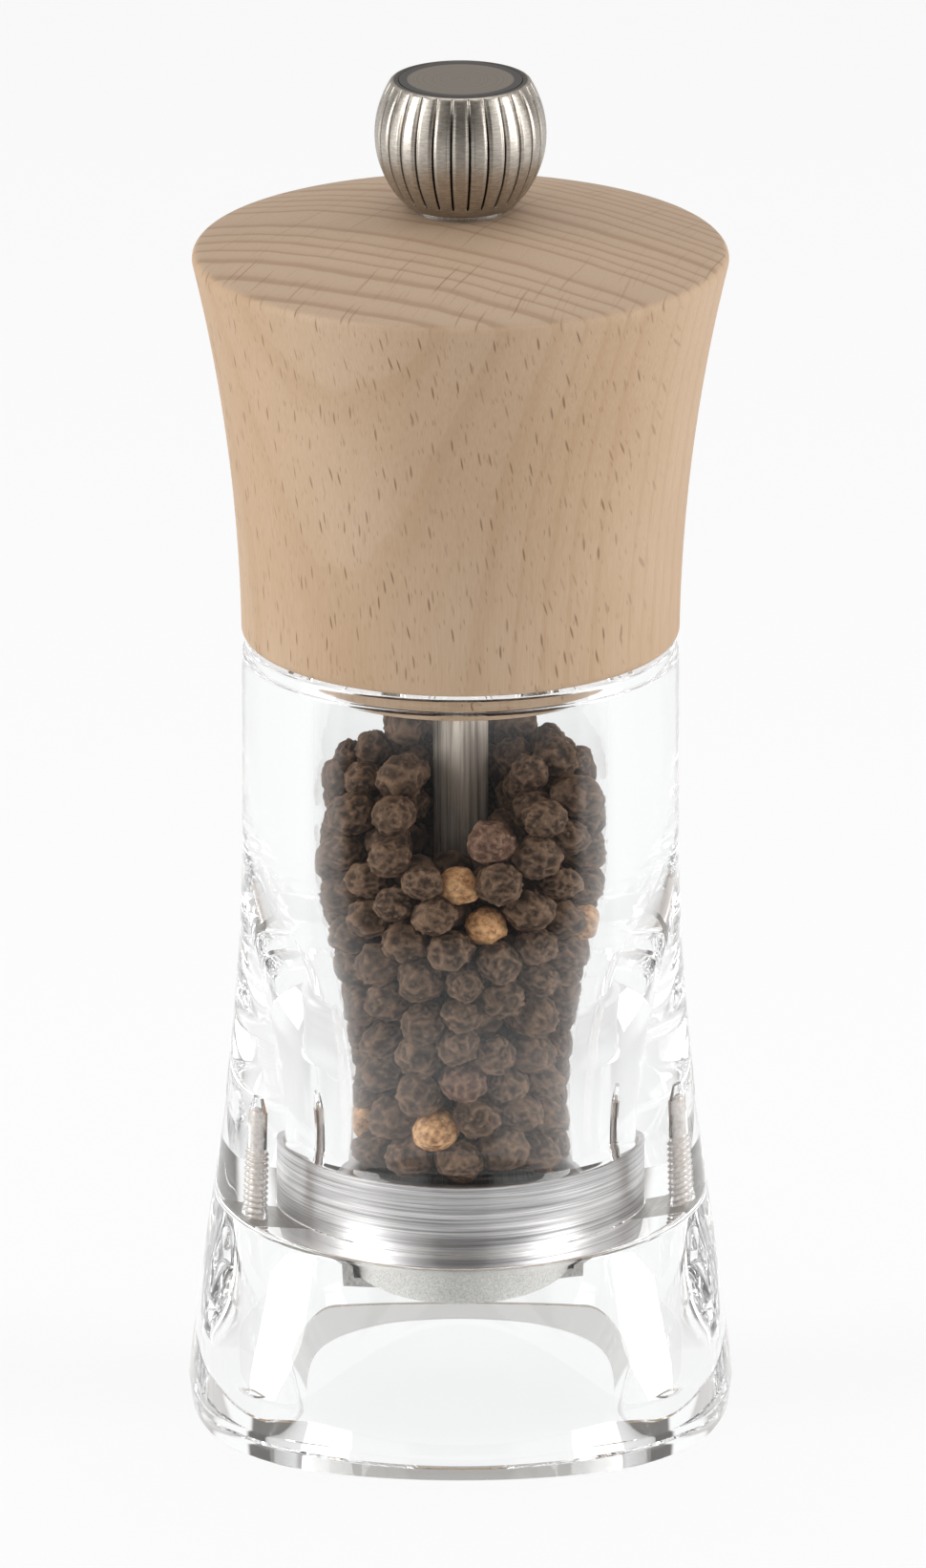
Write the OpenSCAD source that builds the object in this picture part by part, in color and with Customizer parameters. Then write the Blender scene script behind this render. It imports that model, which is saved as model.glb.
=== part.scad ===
// Pepper mill: clear flared body, beech head, steel grinder and fluted knob.
// Millimetres. +Z is up, the origin is at the middle of the foot, on the table.

/* [Clear body] */
// Height of the clear body, foot to rim
body_h = 81.2; // [78:0.1:90]
// Outer radius of the round upper part
body_r = 22.2; // [21:0.1:24]
// Height at which the flare begins
flare_z = 62; // [56:1:66]
// Corner radius of the foot, measured from the axis
corner_r = 29.5; // [28.6:0.1:31]
// Distance from the axis to the middle of each face at the foot
face_r = 27.8; // [27.2:0.1:28.4]
// Radius of the gentle bulge of each face, seen from above
face_bulge = 42; // [36:1:60]
// Height at which the four faces run out into the flare
face_top_z = 32; // [28:1:38]
// Height of the upright band round the foot
band_h = 2.9; // [1.5:0.1:5]
// How far that band draws in at the table
band_taper = 0.4; // [0:0.1:1]
// Rounding of the rim
rim_round = 2; // [0.3:0.1:2.6]

/* [Chamber] */
// Radius of the pepper chamber at the rim
chamber_r = 15.1; // [14:0.1:17]
// Radius of the throat above the grinder
throat_r = 11.8; // [11:0.1:12]
// Height at which the chamber begins to narrow
narrow_z = 60; // [54:1:70]
// Height at which it has narrowed to the throat
throat_z = 28.5; // [28:0.5:40]

/* [Grinder seat] */
// Radius of the hollow below the grinder, at its ceiling
hollow_r = 18.5; // [18:0.1:20]
// Extra radius of that hollow at the table
hollow_draft = 0.8; // [0:0.1:2]
// Height of its ceiling
hollow_h = 20; // [18:0.5:24]
// Height of the ring that carries the grinder
carrier_h = 7; // [6:0.1:9]
// Outer radius of the ring
carrier_r = 12.4; // [12.2:0.05:13]
// Thickness of its inward lip
carrier_lip = 0.8; // [0.5:0.1:1.2]
// Play between pieces that sit in each other
seat_gap = 0.05; // [0.02:0.01:0.1]

/* [Grinder] */
// Outer radius of the fixed grinding ring
stator_r = 11.3; // [11:0.05:11.5]
// How far it hangs below the ceiling of the hollow
stator_drop = 6.4; // [5:0.1:8]
// Number of spiral teeth inside it
stator_teeth = 24; // [12:1:36]
// Number of spiral teeth on the cone
rotor_teeth = 12; // [8:1:20]
// Outer radius of the cone at its foot, over the teeth
rotor_r = 8.2; // [7.5:0.1:8.4]
// Outer radius of the cone at its top, over the teeth
rotor_top_r = 6.2; // [5.5:0.1:6.8]
// Height of the cone
rotor_h = 5.7; // [5:0.1:6]
// Depth of the spiral teeth
tooth_depth = 0.7; // [0.4:0.05:0.9]
// Twist of the teeth over the cone, in degrees
tooth_twist = 40; // [20:1:60]
// Gap between cone and ring at the middle setting
grind_gap = 0.5; // [0.4:0.05:0.8]
// Thickness of the spider that guides the shaft
spider_t = 1; // [0.8:0.1:1.4]
// Width of each spider arm
arm_w = 2.4; // [1.6:0.1:3]
// Width of the strap under the grinder
strap_w = 7; // [6:0.1:8]
// Thickness of the strap
strap_t = 1; // [0.8:0.1:1.2]
// Distance of its screws from the axis
screw_offset = 16; // [15.5:0.1:16.2]
// Angle of the strap from the middle of the faces, in degrees
strap_turn = 6.5; // [0:0.5:15]
// Radius of the screw shank
screw_r = 1.2; // [1:0.05:1.3]
// Length of the screw shank
screw_l = 12.5; // [8:0.5:14]
// Travel of the cone, up and down from the middle setting
rotor_travel = 0.8; // [0.5:0.1:0.9]

/* [Shaft] */
// Side of the square shaft
shaft_w = 4.2; // [3.8:0.1:4.4]
// Radius over its rounded corners
shaft_corner_r = 2.8; // [2.6:0.05:2.9]
// Radius of the threaded top end
thread_r = 2; // [1.8:0.05:2.1]
// Length of the threaded top end
thread_l = 11.4; // [9:0.1:11.6]
// Radius of the round lower end
pin_r = 1.9; // [1.6:0.05:2]
// Running play of the shaft in its bearings
run_gap = 0.08; // [0.03:0.01:0.1]

/* [Beech head] */
// Gap between the head and the rim of the body
head_gap = 0.3; // [0.2:0.05:0.6]
// Height of the head, from its lower edge to the edge of its top
head_h = 40.6; // [36:0.1:44]
// Radius of the widest edge, at the top
head_r = 27.35; // [25:0.05:30]
// Rise of the domed top above that edge
dome_h = 4.7; // [3:0.1:6]
// Rounding of the top edge
head_round = 1.1; // [0.5:0.1:2]
// Rounding of the lower edge
foot_round = 1; // [0.4:0.1:1.8]
// How far below the lower edge the curve of the side would stand upright
waist_drop = 2.3; // [0:0.1:6]
// Length of the spigot that enters the body
spigot_l = 4.1; // [3.5:0.1:7]
// Play between spigot and chamber
spigot_gap = 0.3; // [0.2:0.05:0.5]
// Radius of the hole for the shaft
head_bore_r = 3.3; // [3.15:0.05:3.6]
// Radius of the drive plate
plate_r = 11; // [9:0.1:12.5]
// Thickness of the drive plate
plate_t = 1.2; // [0.8:0.1:1.6]
// Distance of the plate's screws from the axis
plate_screw_offset = 7.6; // [6.8:0.1:8]
// Length of those screws
plate_screw_l = 8; // [5:0.5:12]
// Radius of their shanks
plate_screw_r = 0.9; // [0.7:0.05:1.1]

/* [Knob] */
// Largest radius of the knob
knob_r = 8.68; // [8.2:0.02:9.4]
// Height of the knob
knob_h = 12.9; // [12:0.1:14]
// Height of its widest girth above its foot
knob_girth_z = 7.3; // [6.5:0.1:7.8]
// Radius of the curve of its side
knob_curve = 10.25; // [9.6:0.05:11]
// Number of grooves round it
flutes = 28; // [16:1:32]
// Radius of a groove's section
flute_r = 0.42; // [0.3:0.02:0.5]
// Radius of the line that a groove follows, flatter than the side
flute_curve = 16; // [14:0.5:20]
// Height of the middle of that line above the girth
flute_lift = 1; // [0:0.1:1.6]
// Outer radius of the black ring in the top
inlay_r = 6.24; // [5.9:0.02:6.3]
// Radius of the metal disc inside it
disc_r = 5.4; // [4.8:0.05:5.6]
// Depth of the seat for both
inlay_t = 0.9; // [0.6:0.1:1.2]
// Rounding of the knob's top edge
knob_edge = 0.5; // [0.3:0.05:0.6]
// Radius of the threaded insert
nut_r = 3.3; // [3:0.1:3.6]
// Thickness of the washer under the knob
washer_t = 0.5; // [0.3:0.1:0.8]
// Radius of that washer
washer_r = 4.9; // [4.4:0.1:5.1]

/* [Peppercorns] */
// Radius of the smallest dried berry
corn_r = 2.4; // [2:0.05:2.8]
// Layers of berries against the wall
corn_layers = 9; // [1:1:9]
// Layers of berries round the shaft
inner_layers = 5; // [0:1:5]

/* [Hidden] */
$fn = 96;
over = 1; // how far a cutter passes its work

// Body: the flare is one arc, upright where it begins
flare_run = corner_r - body_r;
flare_drop = flare_z - band_h;
flare_curve = (flare_drop * flare_drop + flare_run * flare_run) / (2 * flare_run);
function flare_r(z) = body_r + flare_curve - sqrt(pow(flare_curve, 2) - pow(flare_z - z, 2));
face_clear = 0.02; // how far the faces stand off the flare where they run out
face_top_r = flare_r(face_top_z) + face_clear;
neck_r = carrier_r + seat_gap;

// Grinder, stacked up from the ceiling of the hollow
carrier_top = hollow_h + carrier_h;
spider_top = carrier_top - carrier_lip;
spider_z = spider_top - spider_t;
stator_z = hollow_h - stator_drop;
stator_top = spider_z;
carrier_bore = stator_r + seat_gap;
spider_r = stator_r;
hub_r = 4.3;
hub_drop = 0.6;
bush_r = 3.6;
bush_bore = shaft_corner_r + run_gap;
bush_collar = 0.5;
bush_z = spider_z - hub_drop;
move_gap = 0.3; // between pieces that move past each other
thrust_t = 0.8;
thrust_r = 4.4;
thrust_z = bush_z - move_gap - thrust_t;
strap_z = stator_z - seat_gap - strap_t;
ear_gap = 0.2; // between an ear's end and the wall of the hollow
ear_end = hollow_r - ear_gap;
screw_head_r = 2;
screw_head_t = 1.4;
thread_tip = 0.5; // chamfer at the end of the thread
clip_t = 0.5;
clip_r = 2.9;
clip_z = strap_z + strap_t + rotor_travel + move_gap;
rotor_z = clip_z + clip_t;
rotor_top_z = rotor_z + rotor_h;
eps = 0.01; // overlap of cutters that follow on each other
mouth_flare = 0.25; // extra room between the teeth at the foot
nip_draw = 0.45; // how far they draw in to the narrowest place
funnel_wall = 1.4; // wall of the ring at the top of its funnel
nip_rise = 2.565; // height of the narrowest place above the foot of the cone
mouth_r = rotor_r + grind_gap + mouth_flare; // inside the ring's teeth, at its foot
nip_r = rotor_r + grind_gap - nip_draw;
funnel_r = stator_r - funnel_wall;
throat_h = rotor_z + nip_rise;
spring_wire = 0.35; // radius of the wire
spring_turns = 2;
spider_rim = 1.6; // width of the spider's rim
lip_cover = 0.6; // how far the ring's lip reaches over that rim
lip_r = stator_r - lip_cover;
spring_r = 3.75;
spring_z0 = rotor_top_z + spring_wire;
spring_z1 = thrust_z - spring_wire;

// Head and knob, stacked up from the rim
head_z = body_h + head_gap;
head_top = head_z + head_h;
apex_z = head_top + dome_h;
waist_z = head_z - waist_drop;
side_rise = head_top - waist_z;
side_run = head_r - body_r;
side_curve = (side_rise * side_rise + side_run * side_run) / (2 * side_run);
dome_curve = (head_r * head_r + dome_h * dome_h) / (2 * dome_h);
side_centre = [body_r + side_curve, waist_z];
dome_centre = [0, apex_z - dome_curve];
spigot_z = head_z - spigot_l;
spigot_r = chamber_r - spigot_gap;
washer_gap = 0.1; // between the turning knob and its washer
washer_stand = 0.2; // how far the washer stands out of the dome
washer_top = apex_z + washer_stand;
knob_z = washer_top + washer_gap;
knob_top = knob_z + knob_h;
knob_centre = [knob_r - knob_curve, knob_z + knob_girth_z];
crown_t = 0.9; // metal left between the insert and the inlay
nut_sink = 0.2; // the insert sits this far up inside the knob's foot
nut_z = knob_z + nut_sink;
nut_top = knob_top - inlay_t - crown_t;
shaft_top = nut_top - rotor_travel - move_gap;
square_top = shaft_top - thread_l;
pin_stand = 0.3; // how far the pin stands out under the strap
shaft_z = strap_z - pin_stand;

// Peppercorns: each layer is a ring of berries that lie side by side
corn_ease = 0.01; // how far a berry stays back from its neighbours
corn_gap = 0.1; // to the wall, which leans a little
corn_play = 0.35; // to the turning shaft
shaft_clear = shaft_corner_r + corn_play;
inner_count = floor(180 / asin(corn_r / (shaft_clear + corn_r)));
inner_rho = shaft_clear / (1 - sin(180 / inner_count));
inner_r = inner_rho * sin(180 / inner_count);

// A ring between two radii
module ring(r_out, r_in, h) {
    difference() {
        cylinder(r = r_out, h = h);
        translate([0, 0, -over]) cylinder(r = r_in, h = h + 2 * over);
    }
}

// Block centred on the axis, standing on its base
module block(x, y, h) {
    translate([-x / 2, -y / 2, 0]) cube([x, y, h]);
}

// Square bar with its corners turned down, standing corner forward
module square_bar(w, corner, h) {
    intersection() {
        rotate([0, 0, 45]) block(w, w, h);
        cylinder(r = corner, h = h);
    }
}

// Body outline before the faces are cut: foot band, flare, upright part, rounded rim
module body_profile() {
    difference() {
        square([corner_r, flare_z]);
        translate([body_r + flare_curve, flare_z]) circle(r = flare_curve, $fn = 720);
        polygon([[corner_r - band_taper, 0], [corner_r + over, 0], [corner_r + over, band_h],
            [corner_r, band_h]]);
    }
    translate([0, flare_z]) square([body_r, body_h - rim_round - flare_z]);
    square([body_r - rim_round, body_h]);
    translate([body_r - rim_round, body_h - rim_round]) circle(r = rim_round, $fn = 48);
}

// One of the four faces: a leaning cone of large radius about an offset axis
module face_cutter() {
    back = face_bulge - face_r;
    translate([-back, 0, 0]) rotate_extrude($fn = 240) polygon([
        [0, -over], [face_r - band_taper * (1 + over / band_h) + back, -over],
        [face_r + back, band_h], [face_top_r + back, face_top_z],
        [face_top_r + back, body_h + over], [0, body_h + over]
    ]);
}

// Pepper chamber: an S-shaped taper from the rim to the throat
chamber_steps = 10;
function chamber_at(t) = chamber_r - (chamber_r - throat_r) * (1 - cos(180 * t)) / 2;
module chamber() {
    rotate_extrude() polygon(concat(
        [[0, carrier_top - over], [throat_r, carrier_top - over]],
        [for (i = [chamber_steps : -1 : 0]) let (t = i / chamber_steps)
            [chamber_at(t), narrow_z - t * (narrow_z - throat_z)]],
        [[chamber_r, body_h + over], [0, body_h + over]]
    ));
}

module clear_body() {
    color([0.86, 0.9, 0.92, 0.45]) difference() {
        intersection() {
            rotate_extrude($fn = 180) body_profile();
            four_faces();
        }
        chamber();
        translate([0, 0, hollow_h - over]) cylinder(r = neck_r, h = carrier_h + over);
        translate([0, 0, -over]) cylinder(r1 = hollow_r + hollow_draft * (1 + over / hollow_h),
            r2 = hollow_r, h = hollow_h + over);
        for (side = [-1, 1]) rotate([0, 0, strap_turn]) translate([side * screw_offset, 0, hollow_h - over])
            cylinder(r = screw_r + seat_gap, h = over + screw_l - strap_t + seat_gap, $fn = 32);
    }
}

module four_faces() {
    intersection() {
        face_cutter();
        rotate([0, 0, 90]) face_cutter();
        rotate([0, 0, 180]) face_cutter();
        rotate([0, 0, 270]) face_cutter();
    }
}

module carrier_ring() {
    color("silver") difference() {
        translate([0, 0, hollow_h]) cylinder(r = carrier_r, h = carrier_h);
        translate([0, 0, hollow_h - over]) cylinder(r = carrier_bore, h = spider_top - hollow_h + over);
        cylinder(r = lip_r, h = carrier_top + over);
    }
}

// Star outline whose teeth lean like a saw's, between two radii
module star(r_in, r_out, teeth) {
    polygon([for (i = [0 : teeth - 1], k = [0, 1, 2]) let (
        r = k == 0 ? r_in : r_out,
        a = (i + [0, 0.35, 0.6][k]) * 360 / teeth
    ) [r * cos(a), r * sin(a)]]);
}

module stator() {
    fine_h = throat_h - stator_z;
    funnel_h = stator_top - throat_h;
    color("gray") difference() {
        translate([0, 0, stator_z]) cylinder(r = stator_r, h = stator_top - stator_z);
        translate([0, 0, stator_z - eps])
            linear_extrude(fine_h + 2 * eps, twist = -tooth_twist / 2, slices = 6,
                scale = nip_r / mouth_r)
                star(mouth_r, mouth_r + tooth_depth * 0.7, stator_teeth);
        translate([0, 0, throat_h])
            linear_extrude(funnel_h + eps, twist = tooth_twist, slices = 8, scale = funnel_r / nip_r)
                star(nip_r, nip_r + tooth_depth * 0.7, stator_teeth / 2);
    }
}

module bearing_spider() {
    rim_in = stator_r - spider_rim;
    color("darkgray") translate([0, 0, spider_z]) difference() {
        union() {
            ring(spider_r, rim_in, spider_t);
            for (i = [0 : 2]) rotate([0, 0, 90 + i * 120]) translate([hub_r - 0.5, -arm_w / 2, 0])
                cube([rim_in - hub_r + 1, arm_w, spider_t]);
            translate([0, 0, -hub_drop]) cylinder(r = hub_r, h = spider_t + hub_drop);
        }
        translate([0, 0, -hub_drop - over]) cylinder(r = bush_r, h = spider_t + hub_drop + 2 * over);
    }
}

module shaft_bush() {
    color("goldenrod") difference() {
        union() {
            translate([0, 0, bush_z]) cylinder(r = bush_r, h = spider_top - bush_z + bush_collar);
            translate([0, 0, spider_top]) cylinder(r = bush_r + bush_collar, h = bush_collar);
        }
        translate([0, 0, bush_z - over]) cylinder(r = bush_bore, h = carrier_h);
    }
}

// Stirrup: two ears on the ceiling, two legs beside the ring and a bar under the cone
module grinder_strap() {
    leg_x = stator_r + seat_gap;
    color("lightslategray") rotate([0, 0, strap_turn]) difference() {
        intersection() {
            union() {
                for (side = [-1, 1]) translate([side * (leg_x + strap_t / 2), 0, strap_z])
                    block(strap_t, strap_w, hollow_h - strap_z);
                translate([0, 0, strap_z]) block(2 * (leg_x + strap_t), strap_w, strap_t);
                translate([0, 0, hollow_h - strap_t]) difference() {
                    block(2 * ear_end, strap_w, strap_t);
                    translate([0, 0, -over]) block(2 * leg_x, strap_w + 2 * over, strap_t + 2 * over);
                }
            }
            translate([0, 0, strap_z]) cylinder(r = ear_end, h = hollow_h - strap_z);
        }
        translate([0, 0, strap_z - over]) cylinder(r = pin_r + run_gap, h = strap_t + 2 * over);
        for (side = [-1, 1]) translate([side * screw_offset, 0, hollow_h - strap_t - over])
            cylinder(r = screw_r + seat_gap, h = strap_t + 2 * over, $fn = 32);
    }
}

module strap_screws() {
    color("gainsboro") rotate([0, 0, strap_turn]) for (side = [-1, 1])
            translate([side * screw_offset, 0, hollow_h - strap_t]) {
        cylinder(r = screw_r, h = screw_l, $fn = 32);
        translate([0, 0, -screw_head_t]) cylinder(r = screw_head_r, h = screw_head_t, $fn = 32);
    }
}

module thrust_washer() {
    color("dimgray") translate([0, 0, thrust_z]) difference() {
        cylinder(r = thrust_r, h = thrust_t);
        translate([0, 0, -over])
            square_bar(shaft_w + 2 * run_gap, shaft_corner_r + run_gap, thrust_t + 2 * over);
    }
}

module drive_shaft() {
    color("lightgray") {
        translate([0, 0, shaft_z]) cylinder(r = pin_r, h = rotor_z - shaft_z);
        translate([0, 0, rotor_z]) square_bar(shaft_w, shaft_corner_r, square_top - rotor_z);
        translate([0, 0, square_top]) cylinder(r = thread_r, h = thread_l - thread_tip);
        translate([0, 0, shaft_top - thread_tip])
            cylinder(r1 = thread_r, r2 = thread_r - thread_tip, h = thread_tip);
    }
}

module rotor() {
    color("dimgray") translate([0, 0, rotor_z]) difference() {
        linear_extrude(rotor_h, twist = tooth_twist, slices = 8, scale = rotor_top_r / rotor_r)
            star(rotor_r - tooth_depth, rotor_r, rotor_teeth);
        translate([0, 0, -over])
            square_bar(shaft_w + 2 * seat_gap, shaft_corner_r + seat_gap, rotor_h + 2 * over);
    }
}

// Coil spring: rings of points swept up a helix
module rotor_spring() {
    around = 8;
    per_turn = 20;
    rings = spring_turns * per_turn;
    points = [for (i = [0 : rings], k = [0 : around - 1]) let (
        a = i * 360 / per_turn,
        b = k * 360 / around,
        r = spring_r + spring_wire * cos(b)
    ) [r * cos(a), r * sin(a),
        spring_z0 + (spring_z1 - spring_z0) * i / rings + spring_wire * sin(b)]];
    sides = [for (i = [0 : rings - 1], k = [0 : around - 1]) let (n = (k + 1) % around)
        [i * around + k, i * around + n, (i + 1) * around + n, (i + 1) * around + k]];
    first = [for (k = [around - 1 : -1 : 0]) k];
    last = [for (k = [0 : around - 1]) rings * around + k];
    color("darkgray") polyhedron(points, concat([first, last], sides), convexity = 6);
}

module rotor_clip() {
    color("darkgray") translate([0, 0, clip_z]) difference() {
        ring(clip_r, pin_r, clip_t);
        translate([0, -pin_r * 0.7, -over]) cube([clip_r + over, pin_r * 1.4, clip_t + 2 * over]);
    }
}

// Points along an arc
function arc(c, r, a0, a1, n) =
    [for (i = [0 : n]) let (a = a0 + (a1 - a0) * i / n) c + r * [cos(a), sin(a)]];
// Where two circles meet, on the left of the line from the first to the second
function meet(c1, r1, c2, r2) = let (
    d = norm(c2 - c1),
    u = (c2 - c1) / d,
    a = (r1 * r1 - r2 * r2 + d * d) / (2 * d),
    h = sqrt(r1 * r1 - a * a)
) c1 + a * u + h * [-u[1], u[0]];
function angle_of(v) = atan2(v[1], v[0]);

// Half outline of the head: spigot, rounded foot, hollow side, rounded edge, dome
module head_profile() {
    edge = meet(dome_centre, dome_curve - head_round, side_centre, side_curve + head_round);
    foot_z = head_z + foot_round;
    foot_x = side_centre[0] - sqrt(pow(side_curve + foot_round, 2) - pow(foot_z - waist_z, 2));
    foot = [foot_x, foot_z];
    a_foot = angle_of(side_centre - foot);
    a_edge = angle_of(side_centre - edge);
    a_dome = angle_of(edge - dome_centre);
    polygon(concat(
        [[0, spigot_z], [spigot_r, spigot_z], [spigot_r, head_z]],
        arc(foot, foot_round, -90, a_foot, 5),
        arc(side_centre, side_curve, 180 + a_foot, 180 + a_edge, 14),
        arc(edge, head_round, a_edge, a_dome, 6),
        arc(dome_centre, dome_curve, a_dome, 90, 10)
    ));
}

module beech_head() {
    color("burlywood") difference() {
        rotate_extrude() head_profile();
        translate([0, 0, spigot_z - over]) cylinder(r = head_bore_r, h = apex_z - spigot_z + 2 * over);
        translate([0, 0, spigot_z - over]) cylinder(r = plate_r + seat_gap, h = plate_t + over);
        translate([0, 0, washer_top - washer_t]) cylinder(r = washer_r + seat_gap, h = washer_t);
        for (side = [-1, 1]) translate([0, side * plate_screw_offset, spigot_z])
            cylinder(r = plate_screw_r, h = plate_screw_l + seat_gap, $fn = 32);
    }
}

module drive_plate() {
    color("silver") translate([0, 0, spigot_z]) difference() {
        cylinder(r = plate_r, h = plate_t);
        translate([0, 0, -over])
            square_bar(shaft_w + 2 * run_gap, shaft_corner_r + run_gap, plate_t + 2 * over);
        for (side = [-1, 1]) translate([0, side * plate_screw_offset, 0])
            plate_screw(seat_gap, plate_t + over);
    }
}

// Countersunk screw, or its hole when given some play
module plate_screw(play, h) {
    cylinder(r1 = 2 * plate_screw_r + play, r2 = plate_screw_r + play, h = plate_screw_r, $fn = 32);
    cylinder(r = plate_screw_r + play, h = h, $fn = 32);
}

module drive_plate_screws() {
    color("gainsboro") for (side = [-1, 1]) translate([0, side * plate_screw_offset, spigot_z])
        plate_screw(0, plate_screw_l);
}

module knob_washer() {
    color("silver") translate([0, 0, washer_top - washer_t]) ring(washer_r, head_bore_r, washer_t);
}

// Half outline of the knob: round side, rounded top edge
module knob_profile() {
    edge_z = knob_top - knob_edge;
    edge_x = knob_centre[0]
        + sqrt(pow(knob_curve - knob_edge, 2) - pow(edge_z - knob_centre[1], 2));
    a_foot = asin((knob_z - knob_centre[1]) / knob_curve);
    a_edge = angle_of([edge_x, edge_z] - knob_centre);
    polygon(concat(
        [[0, knob_z]],
        arc(knob_centre, knob_curve, a_foot, a_edge, 16),
        arc([edge_x, edge_z], knob_edge, a_edge, 90, 5),
        [[0, knob_top]]
    ));
}

// A groove's cutter: part of a slim ring that dips into the side and runs out at both ends
module flute() {
    sweep = 60;
    translate([knob_r - flute_curve, 0, knob_centre[1] + flute_lift]) rotate([90, 0, 0])
        rotate([0, 0, -sweep / 2]) rotate_extrude(angle = sweep, $fn = 180)
            translate([flute_curve, 0]) circle(r = flute_r, $fn = 24);
}

module knob() {
    color("rosybrown") difference() {
        rotate_extrude() knob_profile();
        for (i = [0 : flutes - 1]) rotate([0, 0, (i + 0.5) * 360 / flutes]) flute();
        translate([0, 0, knob_z - over]) cylinder(r = nut_r, h = nut_top - knob_z + over);
        translate([0, 0, knob_top - inlay_t]) cylinder(r = inlay_r, h = inlay_t + over);
    }
}

module knob_nut() {
    color("darkkhaki") translate([0, 0, nut_z]) ring(nut_r, thread_r + run_gap, nut_top - nut_z);
}

module knob_ring() {
    color("black") translate([0, 0, knob_top - inlay_t]) ring(inlay_r, disc_r, inlay_t);
}

module knob_disc() {
    color("tan") translate([0, 0, knob_top - inlay_t]) cylinder(r = disc_r, h = inlay_t);
}

// Inner radius of the chamber at a height
function wall_at(z) = z >= narrow_z ? chamber_r : z <= throat_z ? throat_r
    : chamber_at((narrow_z - z) / (narrow_z - throat_z));
// A layer against the wall at a height: [radius of the ring, radius of its berries, their number]
function wall_ring(z) = let (
    room = wall_at(z) - corn_gap,
    count = floor(180 / asin(corn_r / (room - corn_r))),
    s = sin(180 / count)
) [room / (1 + s), room * s / (1 + s), count];
// The layers from the grinder up, each with its height; a berry stands on the one below it
function lowest_layer() = let (w = wall_ring(carrier_top + corn_r))
    concat([max(spider_top + w[1], carrier_top + sqrt(w[1] * w[1] - pow(lip_r - w[0], 2))) + seat_gap], w);
function next_layer(b) = let (w = wall_ring(b[0] + 2 * corn_r))
    concat([b[0] + sqrt(pow(w[1] + b[2], 2) - pow(w[0] - b[1], 2))], w);
function layers_up(b, n) = n <= 1 ? [b] : concat([b], layers_up(next_layer(b), n - 1));

module berries(z, rho, r, count) {
    translate([0, 0, z]) for (i = [0 : count - 1]) rotate([0, 0, i * 360 / count])
        translate([rho, 0, 0]) sphere(r = r - corn_ease);
}

module peppercorns() {
    layers = layers_up(lowest_layer(), corn_layers);
    // the inner rings begin on the last layer that leaves no room for a berry beside it
    narrow = [for (b = layers) if (b[1] - b[2] < inner_rho + inner_r + corn_gap) b];
    under = narrow[len(narrow) - 1];
    inner_z = under[0] + sqrt(pow(inner_r + under[2], 2) - pow(under[1] - inner_rho, 2));
    color("saddlebrown") {
        for (b = layers) berries(b[0], b[1], b[2], b[3]);
        if (inner_layers > 0) for (k = [0 : inner_layers - 1])
            berries(inner_z + 2 * k * inner_r, inner_rho, inner_r, inner_count);
    }
}

clear_body();
carrier_ring();
stator();
bearing_spider();
shaft_bush();
grinder_strap();
strap_screws();
thrust_washer();
drive_shaft();
rotor();
rotor_spring();
rotor_clip();
beech_head();
drive_plate();
drive_plate_screws();
knob_washer();
knob();
knob_nut();
knob_ring();
knob_disc();
peppercorns();
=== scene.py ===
import math
import random

import bmesh
import bpy
import numpy as np
from mathutils import Matrix, Vector, noise


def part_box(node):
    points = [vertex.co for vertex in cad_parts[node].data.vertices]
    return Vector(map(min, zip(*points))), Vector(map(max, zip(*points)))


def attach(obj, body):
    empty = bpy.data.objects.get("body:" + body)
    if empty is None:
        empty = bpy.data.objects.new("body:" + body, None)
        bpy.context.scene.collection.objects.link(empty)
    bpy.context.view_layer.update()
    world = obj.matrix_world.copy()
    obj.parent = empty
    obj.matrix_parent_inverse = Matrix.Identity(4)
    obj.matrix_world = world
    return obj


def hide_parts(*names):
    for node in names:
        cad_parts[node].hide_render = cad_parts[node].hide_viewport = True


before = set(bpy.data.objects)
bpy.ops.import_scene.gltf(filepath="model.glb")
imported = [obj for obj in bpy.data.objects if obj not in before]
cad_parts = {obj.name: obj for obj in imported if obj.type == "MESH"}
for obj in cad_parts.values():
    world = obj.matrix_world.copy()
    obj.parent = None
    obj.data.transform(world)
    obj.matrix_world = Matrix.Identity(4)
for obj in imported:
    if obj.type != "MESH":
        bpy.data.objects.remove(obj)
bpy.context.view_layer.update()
MM = 0.001

# ---------------------------------------------------------------------------
# Camera. A long lens a little above the mill, so that its upright sides stay
# upright and the rings of the head read as flat ellipses.
# ---------------------------------------------------------------------------
FRAME_HEIGHT_PX = 1642
MM_PER_PX = 0.097
camera_distance = 3.0
camera_elevation = math.radians(17.8)
aim = Vector((0.25, 0.0, 65.4)) * MM
back = Vector((0.0, -math.cos(camera_elevation), math.sin(camera_elevation)))

camera_data = bpy.data.cameras.new("camera")
camera_data.sensor_width = 36.0
camera_data.lens = camera_data.sensor_width * camera_distance / (FRAME_HEIGHT_PX * MM_PER_PX * MM)
camera_data.clip_start = 0.1
camera_data.clip_end = 20.0
camera = bpy.data.objects.new("camera", camera_data)
camera.location = aim + back * camera_distance
camera.rotation_mode = "QUATERNION"
camera.rotation_quaternion = (-back).to_track_quat("-Z", "Y")
bpy.context.scene.collection.objects.link(camera)
bpy.context.scene.camera = camera
bpy.context.scene.view_settings.view_transform = "Standard"


# ---------------------------------------------------------------------------
# Studio. A white table and cyclorama, two tall soft boxes beside the camera
# and one overhead. The room behind the camera stays darker, which is what
# draws the edges of the clear body and the middle of the knob.
# ---------------------------------------------------------------------------
def linear(hex_code):
    """A colour written as sRGB hex, as the linear values that Blender uses."""
    channels = [int(hex_code[i:i + 2], 16) / 255 for i in (1, 3, 5)]
    return [c / 12.92 if c <= 0.04045 else ((c + 0.055) / 1.055) ** 2.4 for c in channels] + [1.0]


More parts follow.
